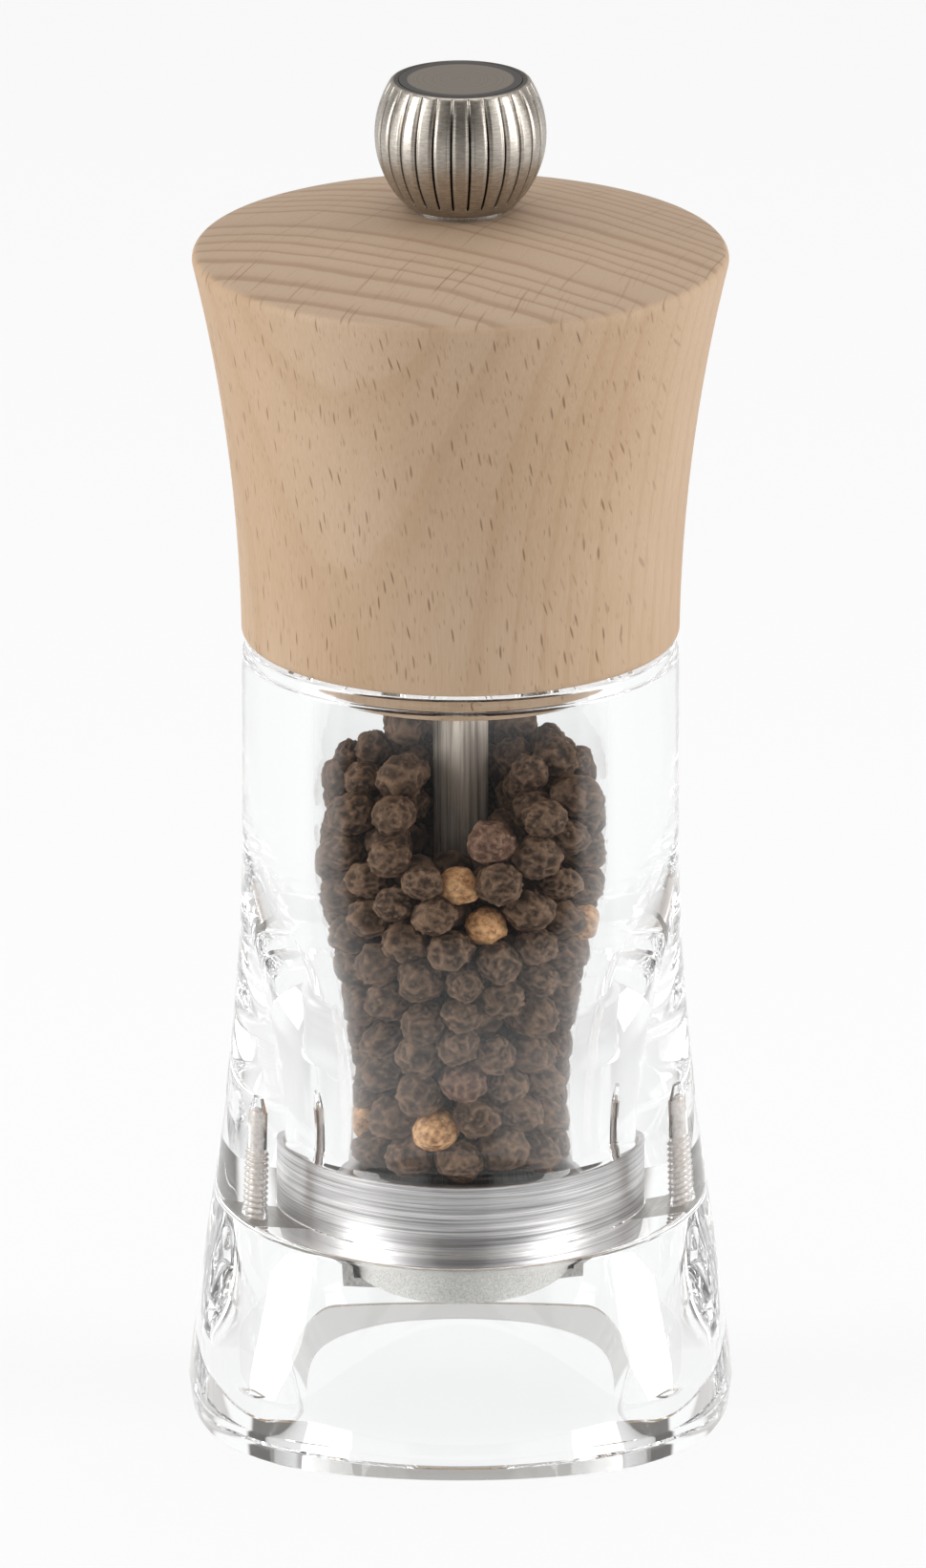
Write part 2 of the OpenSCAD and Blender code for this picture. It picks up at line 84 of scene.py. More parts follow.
def add(tree, kind, inputs=None, out=0, stops=None, **settings):
    """Adds a shader node with its settings, colour stops and inputs, and returns one of its outputs.

    An input takes a number, a vector, a hex colour or the output of another node.
    """
    node = tree.nodes.new("ShaderNode" + kind)
    for name, value in settings.items():
        setattr(node, name, value)
    if stops:
        elements = node.color_ramp.elements
        for position, colour in stops[1:-1]:
            elements.new(position)
        for element, (position, colour) in zip(elements, stops):
            element.position, element.color = position, linear(colour)
    for name, value in (inputs or {}).items():
        if isinstance(value, bpy.types.NodeSocket):
            tree.links.new(value, node.inputs[name])
        else:
            node.inputs[name].default_value = linear(value) if isinstance(value, str) else value
    return node.outputs[out] if node.outputs else None


scene = bpy.context.scene
# light runs round in the clear foot many times before it leaves
scene.cycles.max_bounces = 32
scene.cycles.transmission_bounces = 32
scene.cycles.glossy_bounces = 32
scene.cycles.transparent_max_bounces = 20

world = bpy.data.worlds.new("white_studio")
world.use_nodes = True
scene.world = world
tree = world.node_tree
tree.nodes.clear()
path = add(tree, "LightPath").node.outputs
direction = add(tree, "TexCoord", out="Generated")
right, rearward, upward = add(tree, "SeparateXYZ", {0: direction}).node.outputs
sideways = add(tree, "Math", {0: right}, operation="ABSOLUTE")
# what shines in metal and bends through plastic: a dark room with a tall white panel on
# either side and a softer one overhead; below the horizon all is the white table.
# Each line: what the light follows, from where to where, and its strength at both ends.
light = {}
for part, *step in (
        ("panel front", sideways, 0.50, 0.60, 0.0, 1.0),
        ("panel top", upward, 0.62, 0.82, 1.0, 0.0),
        ("panel middle", sideways, 0.97, 0.995, 1.0, 0.55),
        ("beside", sideways, 0.72, 0.80, 0.0, 1.0),
        ("behind", rearward, -0.05, 0.12, 0.0, 1.0),
        ("overhead", upward, 0.74, 0.9, 0.0, 0.75),
        ("table", upward, -0.05, 0.02, 1.0, 0.0),
        ("ceiling", upward, 0.22, 0.62, 0.10, 0.5),
        ("ceiling front", rearward, -0.4, 0.0, 0.25, 1.0),
        ("walls", rearward, -0.5, 0.3, 0.16, 0.10),
        ("rear wall", rearward, 0.5, 0.75, 0.0, 1.0),
        ("rear wall top", upward, 0.2, 0.42, 0.46, 0.66)):
    light[part] = add(tree, "MapRange", dict(enumerate(step)), interpolation_type="SMOOTHSTEP")
# beside and behind the mill each panel is only a strip
past = add(tree, "Math", {0: light["beside"], 1: light["behind"]}, operation="MULTIPLY")
light["strip"] = add(tree, "MapRange", {0: past, 3: 1.0, 4: 0.06}, interpolation_type="SMOOTHSTEP")
# they are joined two by two, and each result takes the place of the first
for operation, one, other in (
        ("MULTIPLY", "panel front", "panel top"), ("MULTIPLY", "panel front", "panel middle"),
        ("MULTIPLY", "panel front", "strip"), ("MULTIPLY", "ceiling", "ceiling front"),
        ("MAXIMUM", "ceiling", "walls"), ("MULTIPLY", "rear wall", "rear wall top"),
        ("MAXIMUM", "ceiling", "rear wall"), ("MAXIMUM", "ceiling", "panel front"),
        ("MAXIMUM", "overhead", "table"), ("MAXIMUM", "ceiling", "overhead")):
    light[one] = add(tree, "Math", {0: light[one], 1: light[other]}, operation=operation)
room = light["ceiling"]
room_colour = add(tree, "Mix", {0: room, 6: "#f3ebe3", 7: "#ffffff"}, out=2, data_type="RGBA")
in_object = add(tree, "Math", {0: path["Is Glossy Ray"], 1: path["Is Transmission Ray"]}, operation="MAXIMUM")
lit = add(tree, "MixShader", {
    0: in_object,
    1: add(tree, "Background", {"Color": "#fbfcff", "Strength": 0.52}),
    2: add(tree, "Background", {"Color": room_colour, "Strength": room})})
add(tree, "OutputWorld", {"Surface": add(tree, "MixShader", {
    0: path["Is Camera Ray"], 1: lit, 2: add(tree, "Background", {"Color": "#ffffff", "Strength": 1.0})})})


def mesh_object(name, points, faces, smooth_below=35.0):
    """A mesh from points in millimetres, smooth except at edges sharper than the angle."""
    mesh = bpy.data.meshes.new(name)
    mesh.from_pydata([[c * MM for c in p] for p in points], [], faces)
    mesh.validate()
    mesh.shade_smooth()
    if smooth_below < 180:
        mesh.set_sharp_from_angle(angle=math.radians(smooth_below))
    made = bpy.data.objects.new(name, mesh)
    scene.collection.objects.link(made)
    return made


def new_material(name):
    """A material with an empty tree."""
    material = bpy.data.materials.new(name)
    material.use_nodes = True
    material.node_tree.nodes.clear()
    return material, material.node_tree


table_size = 4000
table = mesh_object("table", [(x, y, 0) for x, y in [(-1, -1), (1, -1), (1, 1), (-1, 1)]], [(0, 1, 2, 3)])
table.scale = (table_size, table_size, 1)
table.location.z = -0.05 * MM  # a film of air stays under the polished foot
# laminate: plain and matt, with no pattern that shows
material, tree = new_material("white_laminate_table")
laminate = add(tree, "BsdfPrincipled", {"Base Color": "#f4f4f3", "Roughness": 0.6})
# in front of the mill lies a dark cloth, out of the camera's sight; only reflections show it
path = add(tree, "LightPath").node.outputs
ground = add(tree, "NewGeometry", out="Position")
right, rearward, upward = add(tree, "SeparateXYZ", {0: ground}).node.outputs
sideways = add(tree, "Math", {0: right}, operation="ABSOLUTE")
away = add(tree, "VectorMath", {0: ground}, out="Value", operation="LENGTH")
cloth = {}
for part, *step in (
        ("ring", away, 0.05, 0.11, 0.0, 1.0),
        ("ring edge", away, 0.24, 0.28, 1.0, 0.0),
        ("ring front", rearward, -0.05, 0.0, 1.0, 0.0),
        ("runner", sideways, 0.07, 0.13, 1.0, 0.0),
        ("runner front", rearward, -0.34, -0.27, 1.0, 0.0)):
    cloth[part] = add(tree, "MapRange", dict(enumerate(step)), interpolation_type="SMOOTHSTEP")
for operation, one, other in (("MULTIPLY", "ring", "ring edge"), ("MULTIPLY", "ring", "ring front"),
                              ("MULTIPLY", "runner", "runner front"), ("MAXIMUM", "ring", "runner")):
    cloth[one] = add(tree, "Math", {0: cloth[one], 1: cloth[other]}, operation=operation)
bare = add(tree, "MapRange", {0: cloth["ring"], 3: 1.0, 4: 0.09}, interpolation_type="SMOOTHSTEP")
white = add(tree, "Math", {0: bare, 1: path["Is Camera Ray"]}, operation="MAXIMUM")
own_light = add(tree, "Math", {0: white, 1: -0.2, 2: 1.0}, operation="MULTIPLY_ADD")
seen = path["Is Camera Ray"]
for ray in ("Is Transmission Ray", "Is Glossy Ray"):
    seen = add(tree, "Math", {0: seen, 1: path[ray]}, operation="MAXIMUM")
add(tree, "OutputMaterial", {"Surface": add(tree, "MixShader", {
    0: add(tree, "Math", {0: seen, 1: own_light}, operation="MULTIPLY"),
    1: laminate,
    2: add(tree, "Emission", {"Color": "#ffffff", "Strength": white})})})
table.data.materials.append(material)


def soft_box(name, location, width, height, watts):
    """A rectangular area lamp that faces the middle of the mill."""
    lamp = bpy.data.lights.new(name, "AREA")
    lamp.shape = "RECTANGLE"
    lamp.size, lamp.size_y = width, height
    lamp.energy = watts
    made = bpy.data.objects.new(name, lamp)
    made.location = location
    made.rotation_mode = "QUATERNION"
    made.rotation_quaternion = (Vector(location) - Vector((0, 0, 0.08))).to_track_quat("Z", "Y")
    made.visible_camera = False
    scene.collection.objects.link(made)


soft_box("left_box", (-0.66, -0.12, 0.28), 0.30, 0.75, 3.3)
soft_box("right_box", (0.66, -0.10, 0.28), 0.30, 0.75, 3.0)
soft_box("top_box", (0.0, 0.25, 0.95), 0.8, 0.6, 1.8)


# ---------------------------------------------------------------------------
# Clear body. Injection-moulded acrylic, polished all over: a thick tube that
# flares into a rounded square foot, with the pepper chamber above and an open
# hollow for the grinder below. Edges are slightly rounded by the mould.
# ---------------------------------------------------------------------------
body_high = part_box("clear_body")[1]
body_h = body_high.z / MM
body_r = 22.2
flare_z = 62.0
corner_r = 29.5
face_r = body_high.x / MM
face_bulge = 42.0
face_top_z = 32.0
band_h = 2.9
band_taper = 0.4
rim_step = 0.35   # the lip at the rim is this much smaller
rim_lip = 1.25    # and this high
rim_round = 0.45
bore_round = 0.4
chamber_r = 15.1
throat_r = 11.8
narrow_z = 60.0
throat_z = 28.5
hollow_r = 18.5
hollow_draft = 0.8
hollow_h = 20.0
hollow_round = 0.7
carrier_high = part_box("carrier_ring")[1]
carrier_r = carrier_high.x / MM
carrier_top = carrier_high.z / MM
neck_r = carrier_r - 0.05  # the ring is pressed in, so plastic and metal touch
edge_blend = 0.7  # how softly the faces run into the corners
fuller_by, fuller_from_z, fuller_to_z = 0.13, 22.0, 8.0  # the corners stand nearly upright at the foot

flare_run = corner_r - body_r
flare_curve = ((flare_z - band_h) ** 2 + flare_run ** 2) / (2 * flare_run)


def flare_at(z):
    """Corner radius of the outside at a height."""
    z = max(z, band_h)
    if z >= flare_z:
        return body_r
    return body_r + flare_curve - math.sqrt(flare_curve ** 2 - (flare_z - z) ** 2)


def outside_at(z, azimuth):
    """Radius of the outside at a height and azimuth: the flare, cut by the nearest of four faces."""
    band = band_taper * max(0.0, band_h - z) / band_h
    fuller = 1 + fuller_by * min(max((fuller_from_z - z) / (fuller_from_z - fuller_to_z), 0.0), 1.0)
    corner = min(body_r + (flare_at(z) - body_r) * fuller, corner_r) - band
    if z > face_top_z + 8:
        return corner
    off_face = (azimuth + math.pi / 4) % (math.pi / 2) - math.pi / 4
    face_top = flare_at(face_top_z) + 0.02
    slope = (face_r - face_top) / (face_top_z - band_h)
    face = face_r + (band_h - max(z, band_h)) * slope - band
    if z > face_top_z:
        face = face_top + (z - face_top_z) * 0.2
    behind = face_bulge - face_r
    across = behind * math.sin(off_face)
    flat = math.sqrt((face + behind) ** 2 - across ** 2) - behind * math.cos(off_face)
    near = max(edge_blend - abs(corner - flat), 0.0) / edge_blend
    return min(corner, flat) - near * near * edge_blend / 4


def chamber_at(z):
    """Radius of the pepper chamber at a height."""
    t = min(max((narrow_z - z) / (narrow_z - throat_z), 0.0), 1.0)
    return chamber_r - (chamber_r - throat_r) * (1 - math.cos(math.pi * t)) / 2


def arc(centre_r, centre_z, radius, start, end, steps):
    """Points on an arc of a section, angles in degrees from outward, anticlockwise."""
    angles = [math.radians(start + (end - start) * i / steps) for i in range(steps + 1)]
    return [(centre_r + radius * math.cos(a), centre_z + radius * math.sin(a)) for a in angles]


def turned(name, loop, around=160, closed=True, radius_at=None, smooth_below=35.0):
    """A body turned from a closed loop of (radius, height) points; radius_at may reshape the outside."""
    points, faces = [], []
    for i in range(around):
        azimuth = 2 * math.pi * i / around
        for r, z in loop:
            if radius_at:
                r = radius_at(r, z, azimuth)
            points.append((r * math.cos(azimuth), r * math.sin(azimuth), z))
    n = len(loop)
    for i in range(around):
        j = (i + 1) % around
        for k in range(n if closed else n - 1):
            m = (k + 1) % n
            faces.append((i * n + k, j * n + k, j * n + m, i * n + m))
    made = mesh_object(name, points, faces, smooth_below)
    if any(r == 0 for r, z in loop):
        bm = bmesh.new()
        bm.from_mesh(made.data)
        bmesh.ops.remove_doubles(bm, verts=bm.verts, dist=1e-7)
        bm.to_mesh(made.data)
        bm.free()
    return made


OUTSIDE = 100.0  # added to a radius that outside_at then replaces
levels = [0.12, 0.5, 1.4, 2.3, 2.75, 2.9, 3.05, 3.4]
levels += list(np.linspace(4.0, 44.0, 81)) + list(np.linspace(45.0, 62.0, 18)) + [66, 70, 75, 79]
loop = [(OUTSIDE - 0.12, 0.0)] + [(OUTSIDE, z) for z in levels]
loop += arc(body_r - rim_step, body_h - rim_lip - rim_step, rim_step, 0, 80, 6)
loop += [(body_r - rim_step, body_h - rim_lip + 0.12)]
loop += arc(body_r - rim_step - rim_round, body_h - rim_round, rim_round, 0, 90, 6)
loop += [(chamber_r + bore_round, body_h)]
loop += arc(chamber_r + bore_round, body_h - bore_round, bore_round, 90, 180, 5)[1:]
loop += [(chamber_at(z), z) for z in np.linspace(78, throat_z, 50)]
loop += [(throat_r, carrier_top + 0.3), (throat_r + 0.2, carrier_top - 0.05)]
loop += [(neck_r, carrier_top - 0.05), (neck_r, hollow_h + 0.15), (neck_r + 0.15, hollow_h)]
loop += arc(hollow_r - hollow_round, hollow_h - hollow_round, hollow_round, 90, 0, 6)
loop += [(hollow_r + hollow_draft * (hollow_h - z) / hollow_h, z) for z in (14, 8, 3, 0.2)]
loop += [(hollow_r + hollow_draft + 0.2, 0.0)]


def body_radius(r, z, azimuth):
    """Points of the section's outside follow the flare and the faces, and the others stay."""
    return outside_at(z, azimuth) + r - OUTSIDE if r > OUTSIDE / 2 else r


clear_body = turned("clear_body_moulded", loop[::-1], around=288, radius_at=body_radius, smooth_below=38.0)

screw_low, screw_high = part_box("strap_screws")
screw_rho = 16.0
strap_turn = math.radians(6.5)
screw_hole_r = 1.14  # the thread cuts into the plastic
screw_hole_top = screw_high.z / MM + 1.3  # the hole goes deeper than the screw
hole_tip_r, hole_tip_h = 0.55, 1.6
hole = [(0, screw_hole_top), (hole_tip_r, screw_hole_top), (screw_hole_r - 0.12, screw_hole_top - hole_tip_h),
        (screw_hole_r, hollow_h + 1.0), (screw_hole_r + 0.35, hollow_h - 0.5), (0, hollow_h - 0.5)]
screw_x, screw_y = screw_rho * math.cos(strap_turn), screw_rho * math.sin(strap_turn)
cutters = []
for side in (-1, 1):
    cutter = turned("screw_hole", hole[::-1], around=40)
    cutter.location = (side * screw_x * MM, side * screw_y * MM, 0)
    cut = clear_body.modifiers.new("screw_hole", "BOOLEAN")
    cut.operation = "DIFFERENCE"
    cut.solver = "EXACT"
    cut.object = cutter
    cutters.append(cutter)
bpy.context.view_layer.update()
drilled = bpy.data.meshes.new_from_object(clear_body.evaluated_get(bpy.context.evaluated_depsgraph_get()))
clear_body.modifiers.clear()
clear_body.data = drilled
for cutter in cutters:
    bpy.data.objects.remove(cutter)

# acrylic: clear and all but colourless, mirror-smooth from the polished mould
material, tree = new_material("clear_acrylic_moulded_polished")
acrylic = add(tree, "BsdfPrincipled", {
    "Base Color": "#fdfefe", "IOR": 1.49, "Roughness": 0.0, "Transmission Weight": 1.0})
# light reaches what is inside the body straight through its walls
path = add(tree, "LightPath").node.outputs
straight = add(tree, "Math", {0: path["Is Shadow Ray"], 1: path["Is Diffuse Ray"]}, operation="MAXIMUM")
add(tree, "OutputMaterial", {"Surface": add(tree, "MixShader", {
    0: straight, 1: acrylic, 2: add(tree, "BsdfTransparent", {"Color": "#fcfcfc"})})})
clear_body.data.materials.clear()
clear_body.data.materials.append(material)
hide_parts("clear_body")
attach(clear_body, "base")


# ---------------------------------------------------------------------------
# Carrier ring. Aluminium, turned on a lathe and pressed into the neck of the
# body from below. The tool leaves fine rings round it, which show through the
# plastic as a silver band.
# ---------------------------------------------------------------------------
def node_material(name, material, bevel_mm=0.12):
    """Gives a piece that comes from the drawing its material and a small broken edge."""
    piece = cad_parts[name]
    piece.data.materials.clear()
    piece.data.materials.append(material)
    if bevel_mm:
        edge = piece.modifiers.new("broken_edge", "BEVEL")
        edge.width = bevel_mm * MM
        edge.segments = 2
        edge.limit_method = "ANGLE"
        edge.angle_limit = math.radians(35)
        edge.harden_normals = True


def millimetres(tree):
    """Place on the piece in millimetres."""
    place = add(tree, "TexCoord", out="Object")
    return add(tree, "VectorMath", {0: place, 1: (1 / MM,) * 3}, operation="MULTIPLY")


def grained(name, size_mm, colours, relief_mm, detail, roughness, finish):
    """A material whose colour and fine relief follow grains of one size, in mm along x, y and z."""
    material, tree = new_material(name)
    grains = add(tree, "VectorMath", {0: millimetres(tree), 1: size_mm}, operation="DIVIDE")
    pattern = add(tree, "TexNoise", {
        "Vector": grains, "Scale": 1.0, "Detail": detail, "Roughness": roughness})
    surface = {"Base Color": add(tree, "ValToRGB", {0: pattern}, stops=colours), **finish}
    if relief_mm:
        surface["Normal"] = add(tree, "Bump", {"Height": pattern, "Distance": relief_mm * MM})
    add(tree, "OutputMaterial", {"Surface": add(tree, "BsdfPrincipled", surface)})
    return material


# turned aluminium: pale silver bands and lines right round the ring; the tool marks
# are 0.08 mm apart and are drawn 0.25 mm apart, so that they show
aluminium_turned = grained(
    "aluminium_turned", (20.0, 20.0, 0.25), ((0.32, "#8b898a"), (0.5, "#cac8c8"), (0.66, "#f6f4f3")),
    0.03, 5.0, 0.7, {"Metallic": 1.0, "Roughness": 0.34})
node_material("carrier_ring", aluminium_turned)

# ---------------------------------------------------------------------------
# Grinding ring and cone. Sintered steel, hardened, with spiral teeth; the ring
# is pressed into the carrier and the cone rides on the shaft. A fine, dull,
# slightly pitted grey.
# ---------------------------------------------------------------------------
# sintered steel: matt, with pits of about 0.2 mm between the grains of the powder
steel_sintered = grained(
    "steel_sintered_hardened", (0.2, 0.2, 0.2), ((0.35, "#c3c1bd"), (0.62, "#e8e6e2")),
    0.04, 4.0, 0.65, {"Metallic": 0.85, "Roughness": 0.5})
node_material("stator", steel_sintered, 0)
node_material("rotor", steel_sintered, 0)

# ---------------------------------------------------------------------------
# Bearing spider, strap, thrust washer and clip. Stamped from stainless sheet;
# the rolled surface has short fine streaks and the punched edges are bright.
# ---------------------------------------------------------------------------
# rolled stainless: warm grey, with streaks 0.17 mm wide and 2 mm long
stainless_sheet = grained(
    "stainless_sheet_rolled", (0.1667, 2.0, 0.5), ((0.3, "#8f8c88"), (0.7, "#bcb9b4")),
    0.02, 3.0, 0.5, {"Metallic": 1.0, "Roughness": 0.3})
for name in ("bearing_spider", "grinder_strap", "thrust_washer", "rotor_clip"):
    node_material(name, stainless_sheet, 0.08)

# ---------------------------------------------------------------------------
# Shaft bush. Injection-moulded nylon, off-white and slightly waxy, snapped
# into the hub of the spider.
# ---------------------------------------------------------------------------
# moulded nylon: light sinks 1.5 mm in, and the flow left clouds of 1.4 mm
node_material("shaft_bush", grained(
    "nylon_moulded", (1.43, 1.43, 1.43), ((0.3, "#cfcac0"), (0.7, "#dedad0")),
    0.0, 2.0, 0.5, {"Roughness": 0.42, "Subsurface Weight": 0.15, "Subsurface Scale": 1.5 * MM}), 0.1)

# ---------------------------------------------------------------------------
# Cone spring. Hard-drawn steel wire, wound cold and ground flat at the ends;
# it sits between the washer and the cone and presses the cone down.
# ---------------------------------------------------------------------------
# drawn wire: bright, with marks of the die 0.1 to 0.3 mm wide
node_material("rotor_spring", grained(
    "spring_wire_drawn", (0.333, 0.333, 0.111), ((0.3, "#8a8783"), (0.7, "#c6c3be")),
    0.0, 2.0, 0.5, {"Metallic": 1.0, "Roughness": 0.28}), 0)

# ---------------------------------------------------------------------------
# Strap screws. Zinc-plated steel, thread-forming, driven into blind holes in
# the plastic, which stays in touch with the crests of the thread.
# ---------------------------------------------------------------------------
shank_r = 1.2
thread_crest = shank_r + 0.08
thread_root = shank_r - 0.16
thread_pitch = 0.62
thread_end = 4.2      # plain pilot above the thread
thread_flank = 0.42   # share of the pitch from crest to root
pan_r, recess_r, recess_h = 2.0, 0.45, 0.75
recess_arm = 0.32     # the cross recess is this much narrower between its arms
head_top_z = screw_low.z / MM
head_under_z = head_top_z + 1.4
shank_top_z = screw_high.z / MM
tip_run = 0.2
screw_around = 28
screw_points, screw_faces = [], []


def wound(row_count, around, start=0):
    """Faces between rows of points that run round an axis; start is the number of the first point."""
    faces = []
    for k in range(row_count - 1):
        low, high = start + k * around, start + (k + 1) * around
        faces += [(low + i, low + (i + 1) % around, high + (i + 1) % around, high + i) for i in range(around)]
    return faces


for side in (-1, 1):
    profile_count = int((shank_top_z - head_under_z) / thread_pitch * 10)
    rows = []
    # pan head with a cross recess, wider than the shank
    for r, z in [(0.0, head_top_z + recess_h), (recess_r - 0.1, head_top_z + recess_h - 0.05),
                 (recess_r, head_top_z), (pan_r - 0.55, head_top_z), (pan_r - 0.15, head_top_z + 0.2),
                 (pan_r, head_top_z + 0.55), (pan_r, head_under_z), (thread_root, head_under_z)]:
        rows.append([(r, z)] * screw_around)
    for k in range(profile_count + 1):
        z = head_under_z + 0.05 + (shank_top_z - head_under_z - 0.1) * k / profile_count
        row = []
        for i in range(screw_around):
            turn = (z / thread_pitch - i / screw_around) % 1.0
            crest = max(0.0, 1.0 - abs(turn - 0.5) / thread_flank)
            crest *= min(max((shank_top_z - thread_end - z) / 0.4, 0.0), 1.0)
            narrow = min(1.0, (shank_top_z - z) / tip_run)
            root = thread_root * (0.75 + 0.25 * narrow)
            row.append((root + (thread_crest - thread_root) * crest * (0.25 + 0.75 * narrow), z))
        rows.append(row)
    rows.append([(0.0, shank_top_z)] * screw_around)
    screw_faces += wound(len(rows), screw_around, len(screw_points))
    for row in rows:
        for i, (r, z) in enumerate(row):
            a = 2 * math.pi * i / screw_around
            if 0.3 < r < 0.5 and abs(math.sin(2 * a)) < 0.5:
                r *= recess_arm
            screw_points.append((side * screw_x + r * math.cos(a), side * screw_y + r * math.sin(a), z))
strap_screws = mesh_object("strap_screws_threaded", screw_points, screw_faces, 40)
# zinc plating: pale and slightly milky, in crystals of 0.4 mm
strap_screws.data.materials.append(grained(
    "steel_zinc_plated", (0.4, 0.4, 0.4), ((0.3, "#cbc1ba"), (0.7, "#efe8e2")),
    0.0, 3.0, 0.5, {"Metallic": 0.6, "Roughness": 0.35}))
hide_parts("strap_screws")
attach(strap_screws, "base")

# ---------------------------------------------------------------------------
# Drive shaft. Square aluminium bar, drawn and brushed along its length, one
# corner to the front; round below for the grinder, threaded above for the
# knob. The brushing spreads highlights across it.
# ---------------------------------------------------------------------------
shaft_w = 4.2
shaft_corner_r = 2.8
shaft_blend = 0.22    # how softly the turned corners run into the flats
thread_r = 2.0
thread_depth = 0.24
shaft_pitch = 0.7
pin_r = 1.9
pin_chamfer = 0.2
stud_l = 11.4         # threaded stud above the square
shaft_low, shaft_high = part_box("drive_shaft")
rotor_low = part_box("rotor")[0]
square_low, square_top = rotor_low.z / MM, shaft_high.z / MM - stud_l
shaft_top = shaft_high.z / MM
shaft_around = 48


def square_r(azimuth):
    """Outline of the square bar, corner forward, with its corners turned down."""
    off = (azimuth + math.pi / 2) % (math.pi / 2)
    off = min(off, math.pi / 2 - off)  # angle from the nearest corner
    flat = shaft_w / 2 / math.cos(math.pi / 4 - off)
    near = max(shaft_blend - abs(flat - shaft_corner_r), 0.0) / shaft_blend
    return min(flat, shaft_corner_r) - near * near * shaft_blend / 4


pin_end = shaft_low.z / MM
rows = [("round", 0.0, pin_end), ("round", pin_r - pin_chamfer, pin_end),
        ("round", pin_r, pin_end + pin_chamfer), ("round", pin_r, square_low),
        ("square", 0.0, square_low + 0.02), ("square", 0.0, square_top - 0.3), ("square", -0.3, square_top),
        ("round", thread_r - 0.2, square_top + 0.1)]
thread_steps = 90
for k in range(thread_steps + 1):
    rows.append(("thread", 0.0, square_top + 0.2 + (shaft_top - 0.5 - square_top - 0.2) * k / thread_steps))
rows += [("round", thread_r - 0.5, shaft_top), ("round", 0.0, shaft_top)]
shaft_points = []
for kind, r, z in rows:
    for i in range(shaft_around):
        a = 2 * math.pi * i / shaft_around
        if kind == "square":
            radius = square_r(a) + r
        elif kind == "thread":
            radius = thread_r - thread_depth * abs(((z / shaft_pitch - i / shaft_around) % 1.0) * 2 - 1)
        else:
            radius = r
        shaft_points.append((radius * math.cos(a), radius * math.sin(a), z))
drive_shaft = mesh_object("drive_shaft_drawn", shaft_points, wound(len(rows), shaft_around), 30)
# brushed aluminium: warm pale streaks 0.6 mm wide that run 20 mm up the bar
drive_shaft.data.materials.append(grained(
    "aluminium_drawn_brushed", (0.625, 0.625, 20.0), ((0.36, "#9a8b7b"), (0.48, "#dccebd"), (0.6, "#fff4e4")),
    0.12, 5.0, 0.62, {"Metallic": 0.5, "Roughness": 0.3}))
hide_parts("drive_shaft")
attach(drive_shaft, "drive")

# ---------------------------------------------------------------------------
# Peppercorns. Nearly four hundred dried berries poured into the chamber; they
# lie against the wall, the floor and each other. The skin has shrunk into a
# net of ridges, nearly black in the folds; a few have lost it and are tan.
# ---------------------------------------------------------------------------
corn_count = 385
pour = np.random.default_rng(3)
floor_z = carrier_top - 0.3
shaft_keep = shaft_corner_r + 0.32
settle_steps, pick_step = 620, 480    # the pale and red berries are picked when the heap is formed
fall_steps, fall_mm = 430, 0.14
sink_steps, sink_mm = 540, 0.03
press_rounds, press_share = 7, 0.45   # how often and how far berries move apart in a step
nestled, wall_nestled = 0.84, 0.93    # wrinkled berries lie closer than round ones
neighbour_mm = 7.0                    # only berries this near can touch
inward_mm = 0.03                      # the heap slopes up to the middle
tan_r = 2.35
heap_z, heap_top_z, heap_slope, heap_flat_r = 58.0, 76.8, 1.25, 7.0
corn_r = pour.uniform(2.1, 2.7, corn_count)
around = pour.uniform(0, 2 * math.pi, corn_count)
rho = 5.8 + (chamber_r - 8.4) * np.sqrt(pour.uniform(0, 1, corn_count))
corn_p = np.stack([rho * np.cos(around), rho * np.sin(around),
                   np.linspace(floor_z + 3, floor_z + 62, corn_count)], axis=1)
upper, lower = np.triu_indices(corn_count, 1)
